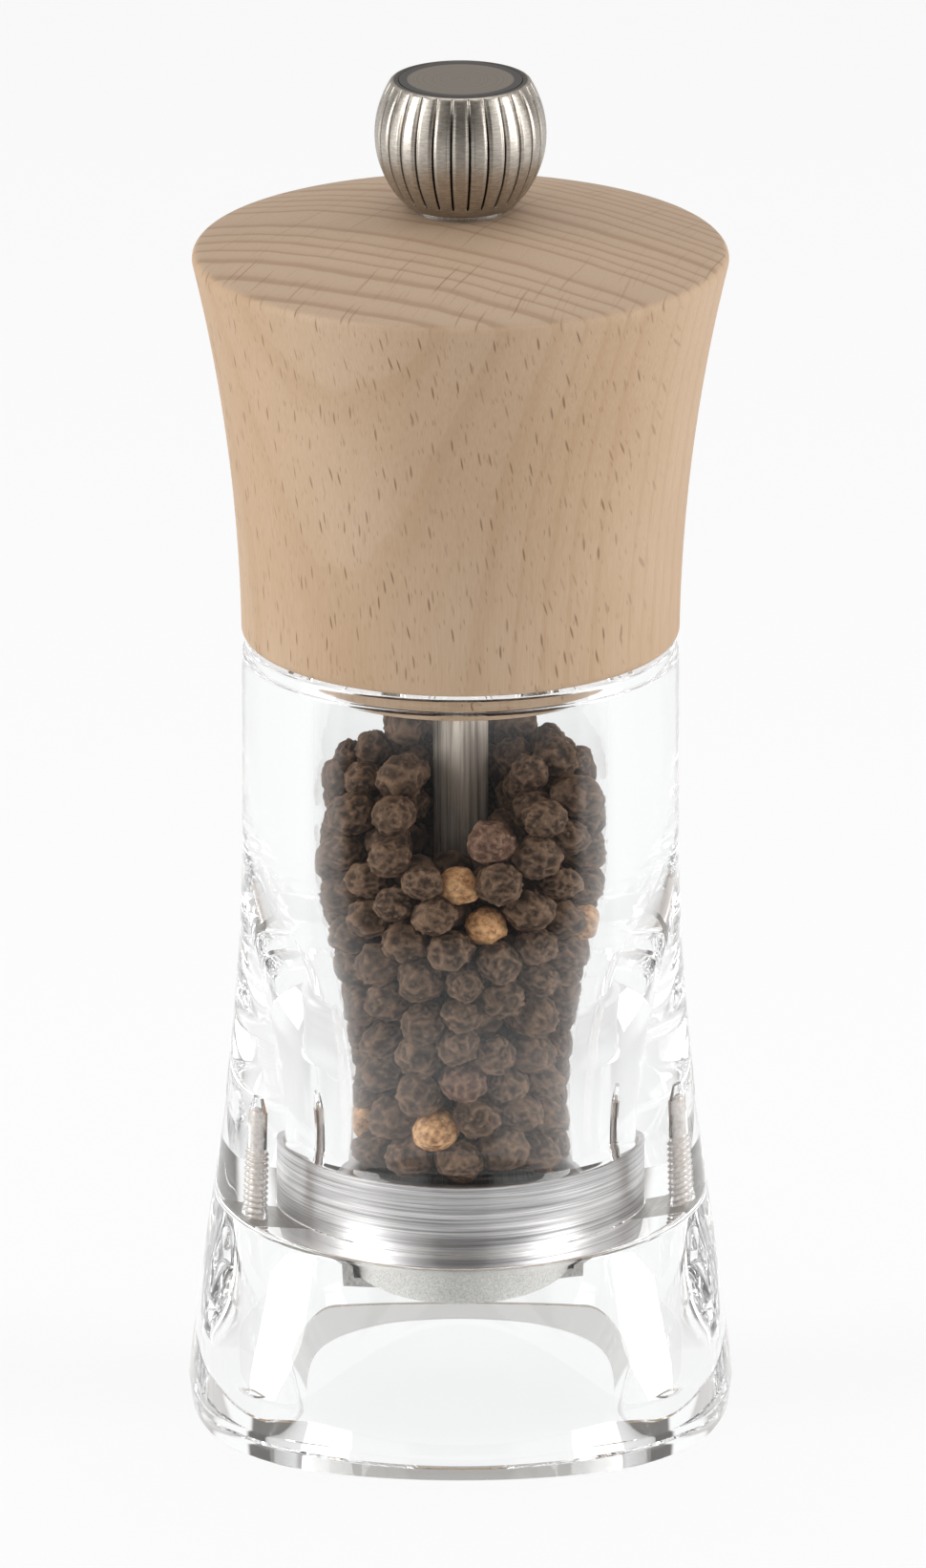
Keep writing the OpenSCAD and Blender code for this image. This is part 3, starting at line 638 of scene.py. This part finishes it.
# the tan berries, which lost their skin, and the red ones lie at these places near the front
tan_near = [(-0.2, -10.8, 58.6), (2.3, -11.0, 54.3), (11.7, -5.6, 52.6),
            (-1.8, -9.2, 31.2), (-9.6, -2.6, 30.6)]
red_near = [(2.9, -10.6, 63.2), (0.5, -10.0, 37.4)]
named, taken = np.array(tan_near + red_near), []
for step in range(settle_steps):
    if step == pick_step:
        for spot in named:
            order = np.argsort(((corn_p - spot) ** 2).sum(axis=1))
            taken.append(next(int(i) for i in order if int(i) not in taken))
        corn_r[taken[:len(tan_near)]] = tan_r
    if step < sink_steps:
        corn_p[:, 2] -= fall_mm if step < fall_steps else sink_mm
    heap = corn_p[:, 2] > heap_z
    rho = np.hypot(corn_p[:, 0], corn_p[:, 1])
    corn_p[heap, :2] *= (1 - inward_mm / rho[heap])[:, None]
    if step % 8 == 0:
        near = ((corn_p[upper] - corn_p[lower]) ** 2).sum(axis=1) < neighbour_mm ** 2
        one, other = upper[near], lower[near]
    for _ in range(press_rounds):
        gap = corn_p[one] - corn_p[other]
        dist = np.sqrt((gap ** 2).sum(axis=1))
        push = np.maximum((corn_r[one] + corn_r[other]) * nestled - dist, 0)
        move = gap / dist[:, None] * (push * press_share)[:, None]
        np.add.at(corn_p, one, move)
        np.add.at(corn_p, other, -move)
        rho = np.hypot(corn_p[:, 0], corn_p[:, 1])
        narrowing = np.clip((narrow_z - corn_p[:, 2]) / (narrow_z - throat_z), 0, 1)
        wall = chamber_r - (chamber_r - throat_r) * (1 - np.cos(math.pi * narrowing)) / 2
        inner = shaft_keep + corn_r
        kept = np.clip(rho, inner, np.maximum(wall - corn_r * wall_nestled, inner))
        corn_p[:, :2] *= (kept / rho)[:, None]
        rho = np.hypot(corn_p[:, 0], corn_p[:, 1])
        slope = heap_top_z - heap_slope * np.maximum(rho - heap_flat_r, 0)
        corn_p[:, 2] = np.clip(corn_p[:, 2], floor_z + corn_r, slope - corn_r)
        if taken:
            corn_p[taken] += (named - corn_p[taken]) * 0.2


def wrinkled(seed, subdivisions, ridge_mm, depth):
    """A berry of radius 1, shrunk to a net of narrow ridges with finer creases between them.

    Returns its points, its faces and how far each point is on a ridge, from 0 to 1.
    """
    mean_r, warp_scale, warp_by, finer, valley, ridge_half = 2.5, 0.9, 0.45, 2.1, 0.3, 0.17
    bm = bmesh.new()
    bmesh.ops.create_icosphere(bm, subdivisions=subdivisions, radius=1.0)
    shift = Vector((seed * 7.3, seed * 3.1, seed * 5.7))
    points, ridges = [], []
    for v in bm.verts:
        n = v.co.normalized()
        where = n * (mean_r / ridge_mm) + shift
        warp = noise.noise_vector(where * warp_scale) * warp_by
        near, _ = noise.voronoi(where + warp, distance_metric="DISTANCE")
        off_ridge = near[1] - near[0]
        fold = min(off_ridge / valley, 1.0)
        near, _ = noise.voronoi((where + warp) * finer, distance_metric="DISTANCE")
        off_crease = near[1] - near[0]
        crease = min(off_crease / valley, 1.0)
        lump = noise.noise(n * 1.4 + shift)
        points.append(n * (1.0 - depth * fold * (2 - fold) - 0.3 * depth * crease - 0.11 * (lump + 0.4)))
        ridges.append(max(1.0 - off_ridge / ridge_half, 0.5 - off_crease / 0.4, 0.0))
    faces = [tuple(v.index for v in f.verts) for f in bm.faces]
    bm.free()
    return np.array(points), faces, np.array(ridges)


moulds = [wrinkled(k, 4, 1.5 + 0.2 * (k % 4), 0.085 + 0.015 * (k % 4)) for k in range(10)]
coarse_moulds = [wrinkled(k, 3, 1.9, 0.1) for k in range(4)]
smooth_moulds = [wrinkled(40 + k, 4, 1.2, 0.012) for k in range(3)]
spin = random.Random(5)
wall_gap = 0.06


def corn_mesh(name, indices, shapes):
    """One mesh of many berries, each turned its own way and squeezed a little."""
    points, faces, ridges, count = [], [], [], 0
    for i in indices:
        chosen = shapes if in_sight[i] else coarse_moulds
        shape, shape_faces, shape_ridges = chosen[spin.randrange(len(chosen))]
        axis = Vector((spin.gauss(0, 1), spin.gauss(0, 1), spin.gauss(0, 1))).normalized()
        turn = np.array(Matrix.Rotation(spin.uniform(0, 2 * math.pi), 3, axis))
        squeeze = np.array([spin.uniform(0.93, 1.0), spin.uniform(0.95, 1.0), 1.0])
        skin = (shape * squeeze) @ turn.T * corn_r[i] + corn_p[i]
        # a berry lies flat where it touches the wall
        off_wall = np.array([chamber_at(z) for z in skin[:, 2]]) - wall_gap
        skin[:, :2] *= np.minimum(off_wall / np.hypot(skin[:, 0], skin[:, 1]), 1.0)[:, None]
        points.append(skin)
        faces += [tuple(k + count for k in f) for f in shape_faces]
        ridges.append(shape_ridges)
        count += len(shape)
    made = mesh_object(name, np.concatenate(points).tolist(), faces, 180)
    made.data.attributes.new("ridge", "FLOAT", "POINT").data.foreach_set("value", np.concatenate(ridges))
    return made


# a hollow in the heap leaves the shaft in sight from the front
hollow_z, hollow_front, hollow_x, hollow_half = 60.5, -2.0, -0.3, 5.0
kept = ~((corn_p[:, 2] > hollow_z) & (corn_p[:, 1] < hollow_front)
         & (np.abs(corn_p[:, 0] - hollow_x) < hollow_half))
kept[taken] = True
tan_corns, red_corns = taken[:len(tan_near)], taken[len(tan_near):]
black_corns = [i for i in range(corn_count) if kept[i] and i not in taken]
# berries deep in the heap don't show and get fewer faces
reach = np.hypot(corn_p[:, 0], corn_p[:, 1]) + 1.5 * corn_r
in_sight = (reach > np.array([chamber_at(z) for z in corn_p[:, 2]])) | (corn_p[:, 2] > heap_z + 4.0)


def corn_material(name, folds, fields, ridges, rough, grit_mm=0.2):
    """Dried skin: dark folds, a field colour that varies from berry to berry, worn ridges."""
    material, tree = new_material(name)
    each = add(tree, "NewGeometry", out="Random Per Island")
    own = add(tree, "VectorMath", {
        0: millimetres(tree), 1: add(tree, "CombineXYZ", {0: each, 1: each, 2: each})}, operation="ADD")
    ridge = add(tree, "Attribute", out="Fac", attribute_name="ridge")
    grit = add(tree, "TexNoise", {"Vector": own, "Scale": 1 / grit_mm, "Detail": 4.0, "Roughness": 0.7})
    skin = add(tree, "ValToRGB", {0: grit}, stops=((0.34, folds), (0.6, fields)))
    shade = add(tree, "MapRange", {"Value": each, "To Min": 0.72, "To Max": 1.22})
    varied = add(tree, "HueSaturation", {"Color": skin, "Value": shade, "Saturation": 0.95})
    patchy = add(tree, "Math", {0: grit, 1: 1.7}, operation="MULTIPLY")
    worn = add(tree, "Math", {0: ridge, 1: patchy}, operation="MULTIPLY", use_clamp=True)
    # ground dust: pale specks of 0.1 mm, one to each 1.6 mm or so
    specks = add(tree, "TexVoronoi", {"Vector": own, "Scale": 0.62, "Randomness": 1.0}, out="Distance")
    dust = add(tree, "MapRange", {0: specks, 1: 0.05, 2: 0.10, 3: 0.8, 4: 0.0})
    pale = add(tree, "Math", {0: worn, 1: dust}, operation="MAXIMUM")
    relief = add(tree, "Math", {0: ridge, 1: 0.6, 2: grit}, operation="MULTIPLY_ADD")
    add(tree, "OutputMaterial", {"Surface": add(tree, "BsdfPrincipled", {
        "Base Color": add(tree, "Mix", {0: pale, 6: varied, 7: ridges}, out=2, data_type="RGBA"),
        "Normal": add(tree, "Bump", {"Height": relief, "Distance": 0.1 * MM}),
        "Roughness": rough,
        "Specular IOR Level": 0.25})})  # a dry, dead skin
    return material


for name, indices, shapes, material in (
        ("peppercorns_black", black_corns, moulds,
         corn_material("pepper_skin_dried_black", "#2b1c13", "#44301f", "#97785f", 0.66)),
        ("peppercorns_red", red_corns, moulds,
         corn_material("pepper_skin_dried_red", "#3a241a", "#614233", "#a3826b", 0.62)),
        ("peppercorns_tan", tan_corns, smooth_moulds,
         corn_material("pepper_core_bare", "#643c1c", "#cf935b", "#f0c08c", 0.6, 0.5))):
    corns = corn_mesh(name, indices, shapes)
    corns.data.materials.append(material)
    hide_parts("peppercorns")
    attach(corns, "base")

# ---------------------------------------------------------------------------
# Head. One block of steamed beech, turned with the grain upright, sanded and
# finished with a thin matt lacquer. The growth rings draw U shapes on the
# front and lines on the end grain of the top; the rays show as dark flecks.
# ---------------------------------------------------------------------------
head_r = 27.35
dome_h = 4.7
head_round = 1.1
foot_round = 1.0
spigot_l = 4.1
spigot_chamfer = 0.5
spigot_r = chamber_r - 0.3
head_bore_r = 3.3
head_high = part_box("beech_head")[1]
head_z = body_h + 0.3
apex_z = head_high.z / MM
head_top = apex_z - dome_h
waist_z = head_z - 2.3
side_rise, side_run = head_top - waist_z, head_r - body_r
side_curve = (side_rise ** 2 + side_run ** 2) / (2 * side_run)
side_centre = Vector((body_r + side_curve, waist_z))
dome_curve = (head_r ** 2 + dome_h ** 2) / (2 * dome_h)
dome_centre = Vector((0.0, apex_z - dome_curve))
washer_low, washer_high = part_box("knob_washer")
washer_seat_r = washer_high.x / MM + 0.05


def meet(c1, r1, c2, r2):
    """Where two circles meet, on the left of the line from the first to the second."""
    d = (c2 - c1).length
    u = (c2 - c1) / d
    along = (r1 * r1 - r2 * r2 + d * d) / (2 * d)
    return c1 + along * u + math.sqrt(r1 * r1 - along * along) * Vector((-u.y, u.x))


def angle_of(v):
    """Direction of a flat vector in degrees."""
    return math.degrees(math.atan2(v.y, v.x))


edge_centre = meet(dome_centre, dome_curve - head_round, side_centre, side_curve + head_round)
foot_centre = Vector((side_centre.x - math.sqrt((side_curve + foot_round) ** 2
                                                - (head_z + foot_round - waist_z) ** 2), head_z + foot_round))
at_foot = angle_of(side_centre - foot_centre)
at_edge = angle_of(side_centre - edge_centre)
at_dome = angle_of(edge_centre - dome_centre)
seat_angle = math.degrees(math.acos(washer_seat_r / dome_curve))
plate_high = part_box("drive_plate")[1]
plate_seat_r = plate_high.x / MM + 0.05
spigot_z = head_z - spigot_l
loop = [(head_bore_r, plate_high.z / MM), (plate_seat_r, plate_high.z / MM), (plate_seat_r, spigot_z),
        (spigot_r - spigot_chamfer, spigot_z), (spigot_r, spigot_z + spigot_chamfer), (spigot_r, head_z)]
loop += arc(foot_centre.x, foot_centre.y, foot_round, -90, at_foot, 8)
loop += arc(side_centre.x, side_centre.y, side_curve, 180 + at_foot, 180 + at_edge, 60)[1:]
loop += arc(edge_centre.x, edge_centre.y, head_round, at_edge, at_dome, 10)[1:]
loop += arc(dome_centre.x, dome_centre.y, dome_curve, at_dome, seat_angle, 36)[1:]
loop += [(washer_seat_r, washer_low.z / MM), (head_bore_r, washer_low.z / MM)]
beech_head = turned("beech_head_turned", loop, around=224, smooth_below=45)

# steamed beech: pinkish tan, with darker late wood, rays and fibres under a thin matt lacquer
material, tree = new_material("beech_steamed_turned_lacquered")
place = millimetres(tree)
x, y, z = add(tree, "SeparateXYZ", {0: place}).node.outputs
pith = (43.8, 72.8)  # where the middle of the log was, behind the head
year_mm = 2.5        # growth a year
dx = add(tree, "Math", {0: x, 1: -pith[0]}, operation="ADD")
dy = add(tree, "Math", {0: y, 1: -pith[1]}, operation="ADD")
outward = add(tree, "CombineXYZ", {0: dx, 1: dy})
from_pith = add(tree, "VectorMath", {0: outward}, out="Value", operation="LENGTH")
round_pith = add(tree, "Math", {0: dy, 1: dx}, operation="ARCTAN2")
across = add(tree, "Math", {0: round_pith, 1: 85.0}, operation="MULTIPLY")  # mm along a ring at mid-head
# the pattern sizes are in mm across the grain twice and along it
grains = {}
for name, size_mm, detail, roughness in (
        ("wander", (11.11, 11.11, 28.57), 2.0, 0.5),
        ("drift", (8.333, 8.333, 8.333), 1.0, 0.5),
        ("fibre", (0.15385, 0.15385, 4.545), 3.0, 0.65),
        ("pores", (0.14286, 0.14286, 2.0), 2.0, 0.8),
        ("cloud", (16.67, 16.67, 33.33), 3.0, 0.5)):
    grains[name] = add(tree, "TexNoise", {
        "Vector": add(tree, "VectorMath", {0: place, 1: size_mm}, operation="DIVIDE"),
        "Scale": 1.0, "Detail": detail, "Roughness": roughness})
# growth rings: each darkens outward and then breaks off to pale early wood
wavy = add(tree, "Math", {0: grains["wander"], 1: 1.7, 2: from_pith}, operation="MULTIPLY_ADD")
years = add(tree, "Math", {0: wavy, 1: year_mm}, operation="DIVIDE")
uneven = add(tree, "TexNoise", {"W": years, "Scale": 0.37, "Detail": 1.0}, noise_dimensions="1D")
years = add(tree, "Math", {0: uneven, 1: 1.3, 2: years}, operation="MULTIPLY_ADD")
late = add(tree, "FloatCurve", {"Value": add(tree, "Math", {0: years}, operation="FRACT")})
curve = late.node.mapping.curves[0]
for at, height in ((0.06, 0.12), (0.25, 0.05), (0.72, 0.28), (0.93, 1.0)):
    curve.points.new(at, height)
curve.points[0].location = (0.0, 0.85)
curve.points[-1].location = (1.0, 0.9)
late.node.mapping.update()
# rays: thin upright plates that run out from the pith, cut end-on by the side
slant = add(tree, "Math", {0: z, 1: 0.07, 2: across}, operation="MULTIPLY_ADD")
slant = add(tree, "Math", {0: grains["drift"], 1: 1.2, 2: slant}, operation="MULTIPLY_ADD")
spindles = []
for wide_mm, long_mm, middle, edge, channel in ((0.68, 6.6, 0.055, 0.145, 0), (0.38, 3.1, 0.05, 0.15, 1)):
    cell = add(tree, "CombineXYZ", {
        0: add(tree, "Math", {0: slant, 1: wide_mm}, operation="DIVIDE"),
        1: add(tree, "Math", {0: z, 1: long_mm}, operation="DIVIDE")})
    near = add(tree, "TexVoronoi", {"Vector": cell, "Scale": 1.0, "Randomness": 1.0},
               voronoi_dimensions="2D").node.outputs
    spindle = add(tree, "MapRange", {0: near["Distance"], 1: middle, 2: edge, 3: 1.0, 4: 0.0},
                  interpolation_type="SMOOTHSTEP")
    depth = add(tree, "SeparateColor", {0: near["Color"]}, out=channel)
    spindles.append(add(tree, "Math", {0: spindle, 1: depth}, operation="MULTIPLY"))
ray = add(tree, "Math", {0: spindles[1], 1: 0.55, 2: spindles[0]}, operation="MULTIPLY_ADD", use_clamp=True)
# where the side runs along the rays their edges don't show
normal = add(tree, "NewGeometry", out="Normal")
facing = add(tree, "VectorMath", {
    0: add(tree, "VectorMath", {0: outward}, operation="NORMALIZE"), 1: normal},
    out="Value", operation="DOT_PRODUCT")
cut_across = add(tree, "MapRange", {
    0: add(tree, "Math", {0: facing}, operation="ABSOLUTE"), 1: 0.2, 2: 0.5})
up = add(tree, "SeparateXYZ", {0: normal}, out=2)
end_grain = add(tree, "MapRange", {0: up, 1: 0.45, 2: 0.9}, interpolation_type="SMOOTHSTEP")
cut = add(tree, "Math", {0: cut_across, 1: end_grain}, operation="MAXIMUM")
ray = add(tree, "Math", {0: ray, 1: cut}, operation="MULTIPLY")
# the side and the end grain each have their pale and their late wood
cloud_share = add(tree, "MapRange", {0: grains["cloud"], 1: 0.35, 2: 0.65})
side_late = add(tree, "Math", {0: late, 1: 0.3}, operation="MULTIPLY")
top_late = add(tree, "Math", {0: late, 1: 0.66}, operation="MULTIPLY")
side_colour = add(tree, "Mix", {0: cloud_share, 6: "#cbb094", 7: "#c2a485"}, out=2, data_type="RGBA")
side_colour = add(tree, "Mix", {0: side_late, 6: side_colour, 7: "#b4926f"}, out=2, data_type="RGBA")
top_colour = add(tree, "Mix", {0: top_late, 6: "#bba38b", 7: "#957860"}, out=2, data_type="RGBA")
colour = add(tree, "Mix", {0: end_grain, 6: side_colour, 7: top_colour}, out=2, data_type="RGBA")
# over it fine upright fibres, pores that show as dots in the end grain, and the rays
pore_dots = add(tree, "MapRange", {0: grains["pores"], 1: 0.6, 2: 0.75, 3: 0.0, 4: 0.35})
ray_share = add(tree, "MapRange", {0: end_grain, 3: 0.8, 4: 0.5})
for share, hex_code in (
        (add(tree, "MapRange", {0: grains["fibre"], 1: 0.3, 2: 0.7, 3: 0.0, 4: 0.34}), "#a98763"),
        (add(tree, "Math", {0: pore_dots, 1: end_grain}, operation="MULTIPLY"), "#7d6048"),
        (add(tree, "Math", {0: ray, 1: ray_share}, operation="MULTIPLY"), "#7b5a3c")):
    colour = add(tree, "Mix", {0: share, 6: colour, 7: hex_code}, out=2, data_type="RGBA")
ray_dip = add(tree, "Math", {0: ray, 1: -0.8}, operation="MULTIPLY")
grain_height = add(tree, "Math", {0: grains["fibre"], 1: 0.5, 2: ray_dip}, operation="MULTIPLY_ADD")
add(tree, "OutputMaterial", {"Surface": add(tree, "BsdfPrincipled", {
    "Base Color": colour,
    "Normal": add(tree, "Bump", {"Height": grain_height, "Distance": 0.035 * MM}),
    "Roughness": add(tree, "MapRange", {0: grains["fibre"], 1: 0.3, 2: 0.7, 3: 0.5, 4: 0.62}),
    "Specular IOR Level": 0.4})})
beech_head.data.materials.append(material)
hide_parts("beech_head")
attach(beech_head, "head")

# ---------------------------------------------------------------------------
# Drive plate and its screws. A turned metal disc with a square hole, held in
# the end of the spigot by two countersunk screws; it turns the shaft with the
# head. It has the same bright lathe finish as the carrier ring.
# ---------------------------------------------------------------------------
node_material("drive_plate", aluminium_turned, 0.1)
node_material("drive_plate_screws", stainless_sheet, 0)

# ---------------------------------------------------------------------------
# Knob washer. Thin stainless washer, stamped, let into the top of the head so
# that the knob doesn't rub on the wood.
# ---------------------------------------------------------------------------
node_material("knob_washer", stainless_sheet, 0.08)

# ---------------------------------------------------------------------------
# Knob. Die-cast zinc, satin nickel plated over fine grooves that run from the
# rim nearly to the foot. The plating is soft on the ribs, the grooves have a bright
# line along each lip, and their deepest part is painted dark as painted shade.
# ---------------------------------------------------------------------------
knob_r = 8.68
knob_curve = 10.25
knob_girth_z = 7.3
knob_edge = 0.5
flutes = 28
flute_r = 0.42
flute_curve, flute_lift = 11.2, 0.3  # the line of the grooves, nearly that of the ribs
inlay_r = 6.24
inlay_t = 0.9
knob_low, knob_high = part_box("knob")
knob_z, knob_top = knob_low.z / MM, knob_high.z / MM
knob_centre = Vector((knob_r - knob_curve, knob_z + knob_girth_z))
edge_z = knob_top - knob_edge
edge_x = knob_centre.x + math.sqrt((knob_curve - knob_edge) ** 2 - (edge_z - knob_centre.y) ** 2)
at_bottom = math.degrees(math.asin((knob_z - knob_centre.y) / knob_curve))
at_top = angle_of(Vector((edge_x, edge_z)) - knob_centre)
profile = [(0.0, knob_z)]
profile += arc(knob_centre.x, knob_centre.y, knob_curve, at_bottom, at_top, 64)
profile += arc(edge_x, edge_z, knob_edge, at_top, 90, 8)[1:]
profile += [(inlay_r + 0.1, knob_top), (inlay_r, knob_top - 0.1),
            (inlay_r, knob_top - inlay_t), (0.0, knob_top - inlay_t)]
slot_half = 0.13  # half the width of the narrow slot in the bottom of a groove
groove_depth, slot_depth = 0.13, 0.27
# columns of points across a groove, in shares of its half width, close together at the slot
across_flute = [1.35, 1.05, 0.9, 0.75, 0.6, 0.48, 0.4, 0.34, 0.29, 0.22, 0.12]
across_flute = [-d for d in across_flute] + [0.0] + across_flute[::-1]
columns = []
for i in range(flutes):
    middle = (i + 0.5) * 2 * math.pi / flutes
    columns += [middle + d * flute_r / knob_r for d in across_flute]
    columns.append(middle + math.pi / flutes)
knob_points, knob_faces = [], []
for azimuth in columns:
    off = (azimuth % (2 * math.pi / flutes)) - math.pi / flutes
    for r, z in profile:
        along = z - (knob_centre.y + flute_lift)
        groove_r = knob_r - flute_curve + math.sqrt(flute_curve ** 2 - along ** 2)
        aside = off * max(r, 1.0)
        if abs(aside) < flute_r and r > inlay_r + 0.3:
            share = min(max((r - groove_r + flute_r) / flute_r, 0.0), 1.0)
            shoulder = groove_depth * (1 - (aside / flute_r) ** 2)
            r -= share * (shoulder + slot_depth * max(0.0, 1 - (aside / slot_half) ** 2))
        knob_points.append((r * math.cos(azimuth), r * math.sin(azimuth), z))
rows_up = len(profile)
for i in range(len(columns)):
    j = (i + 1) % len(columns)
    for k in range(rows_up - 1):
        knob_faces.append((i * rows_up + k, j * rows_up + k, j * rows_up + k + 1, i * rows_up + k + 1))
knob = mesh_object("knob_fluted", knob_points, knob_faces, 50)
# satin nickel: warm grey and soft, with faint level brush marks; the grooves get painted shade, darker the
# deeper they lie
material, tree = new_material("zinc_cast_satin_nickel")
place = millimetres(tree)
x, y, z = add(tree, "SeparateXYZ", {0: place}).node.outputs
brushed = add(tree, "VectorMath", {0: place, 1: (0.8333, 0.8333, 0.1111)}, operation="DIVIDE")
satin = add(tree, "TexNoise", {"Vector": brushed, "Scale": 1.0, "Detail": 4.0, "Roughness": 0.6})
grain = add(tree, "TexNoise", {"Vector": place, "Scale": 1 / 0.16667, "Detail": 3.0, "Roughness": 0.6})
# how deep a point lies below the ribs
away = add(tree, "VectorMath", {0: add(tree, "CombineXYZ", {0: x, 1: y})}, out="Value", operation="LENGTH")
above_girth = add(tree, "Math", {0: z, 1: -knob_centre.y}, operation="ADD")
squared = add(tree, "Math", {0: above_girth, 1: 2.0}, operation="POWER")
side_squared = add(tree, "Math", {0: knob_curve ** 2, 1: squared}, operation="SUBTRACT")
side_here = add(tree, "Math", {0: side_squared, 1: 0.5}, operation="POWER")
rib_r = add(tree, "Math", {0: side_here, 1: knob_centre.x}, operation="ADD")
sunk = add(tree, "Math", {0: rib_r, 1: away}, operation="SUBTRACT")
# painted shade: the deepest part of each groove is mixed towards near black by its depth
groove_slot_shade = add(tree, "MapRange", {0: sunk, 1: 0.14, 2: 0.3, 3: 0.0, 4: 0.85})
plating = add(tree, "ValToRGB", {0: satin}, stops=((0.3, "#9a9288"), (0.7, "#c5bfb6")))
uneven = add(tree, "Math", {0: satin, 1: grain}, operation="ADD")
add(tree, "OutputMaterial", {"Surface": add(tree, "BsdfPrincipled", {
    "Base Color": add(tree, "Mix", {0: groove_slot_shade, 6: plating, 7: "#2e2a26"}, out=2, data_type="RGBA"),
    "Normal": add(tree, "Bump", {"Height": uneven, "Distance": 0.012 * MM}),
    "Roughness": add(tree, "MapRange", {0: grain, 1: 0.3, 2: 0.7, 3: 0.3, 4: 0.4}),
    "Metallic": 1.0})})
knob.data.materials.append(material)
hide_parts("knob")
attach(knob, "knob")

# ---------------------------------------------------------------------------
# Knob insert. Machined from brass bar and pressed into the zinc; its thread
# runs on the shaft and sets the grind.
# ---------------------------------------------------------------------------
# machined brass: yellow, with turning lines 0.125 mm apart
node_material("knob_nut", grained(
    "brass_insert_machined", (10.0, 10.0, 0.125), ((0.3, "#a8874a"), (0.7, "#c9a868")),
    0.0, 2.0, 0.5, {"Metallic": 1.0, "Roughness": 0.35}), 0.1)

# ---------------------------------------------------------------------------
# Knob inlay. A black moulded ring round a satin metal disc, both pressed
# flush into the top. The disc is brushed round and round, and is bare.
# ---------------------------------------------------------------------------
# moulded ABS: near black and smooth, with a faint texture of 0.25 mm
node_material("knob_ring", grained(
    "abs_black_moulded", (0.25, 0.25, 0.25), ((0.3, "#161514"), (0.7, "#211f1e")),
    0.01, 3.0, 0.5, {"Roughness": 0.28}), 0.1)

# brushed nickel: fine rings 0.17 mm apart round the middle, drawn coarser than the real ones
material, tree = new_material("nickel_disc_brushed")
x, y, _ = add(tree, "SeparateXYZ", {0: millimetres(tree)}).node.outputs
away = add(tree, "VectorMath", {0: add(tree, "CombineXYZ", {0: x, 1: y})}, out="Value", operation="LENGTH")
rounds = add(tree, "TexNoise", {"W": away, "Scale": 1 / 0.16667, "Detail": 4.0, "Roughness": 0.7},
             noise_dimensions="1D")
add(tree, "OutputMaterial", {"Surface": add(tree, "BsdfPrincipled", {
    "Base Color": add(tree, "ValToRGB", {0: rounds}, stops=((0.3, "#81796f"), (0.7, "#a0978c"))),
    "Normal": add(tree, "Bump", {"Height": rounds, "Distance": 0.012 * MM}),
    "Metallic": 1.0, "Roughness": 0.36})})
node_material("knob_disc", material, 0.08)
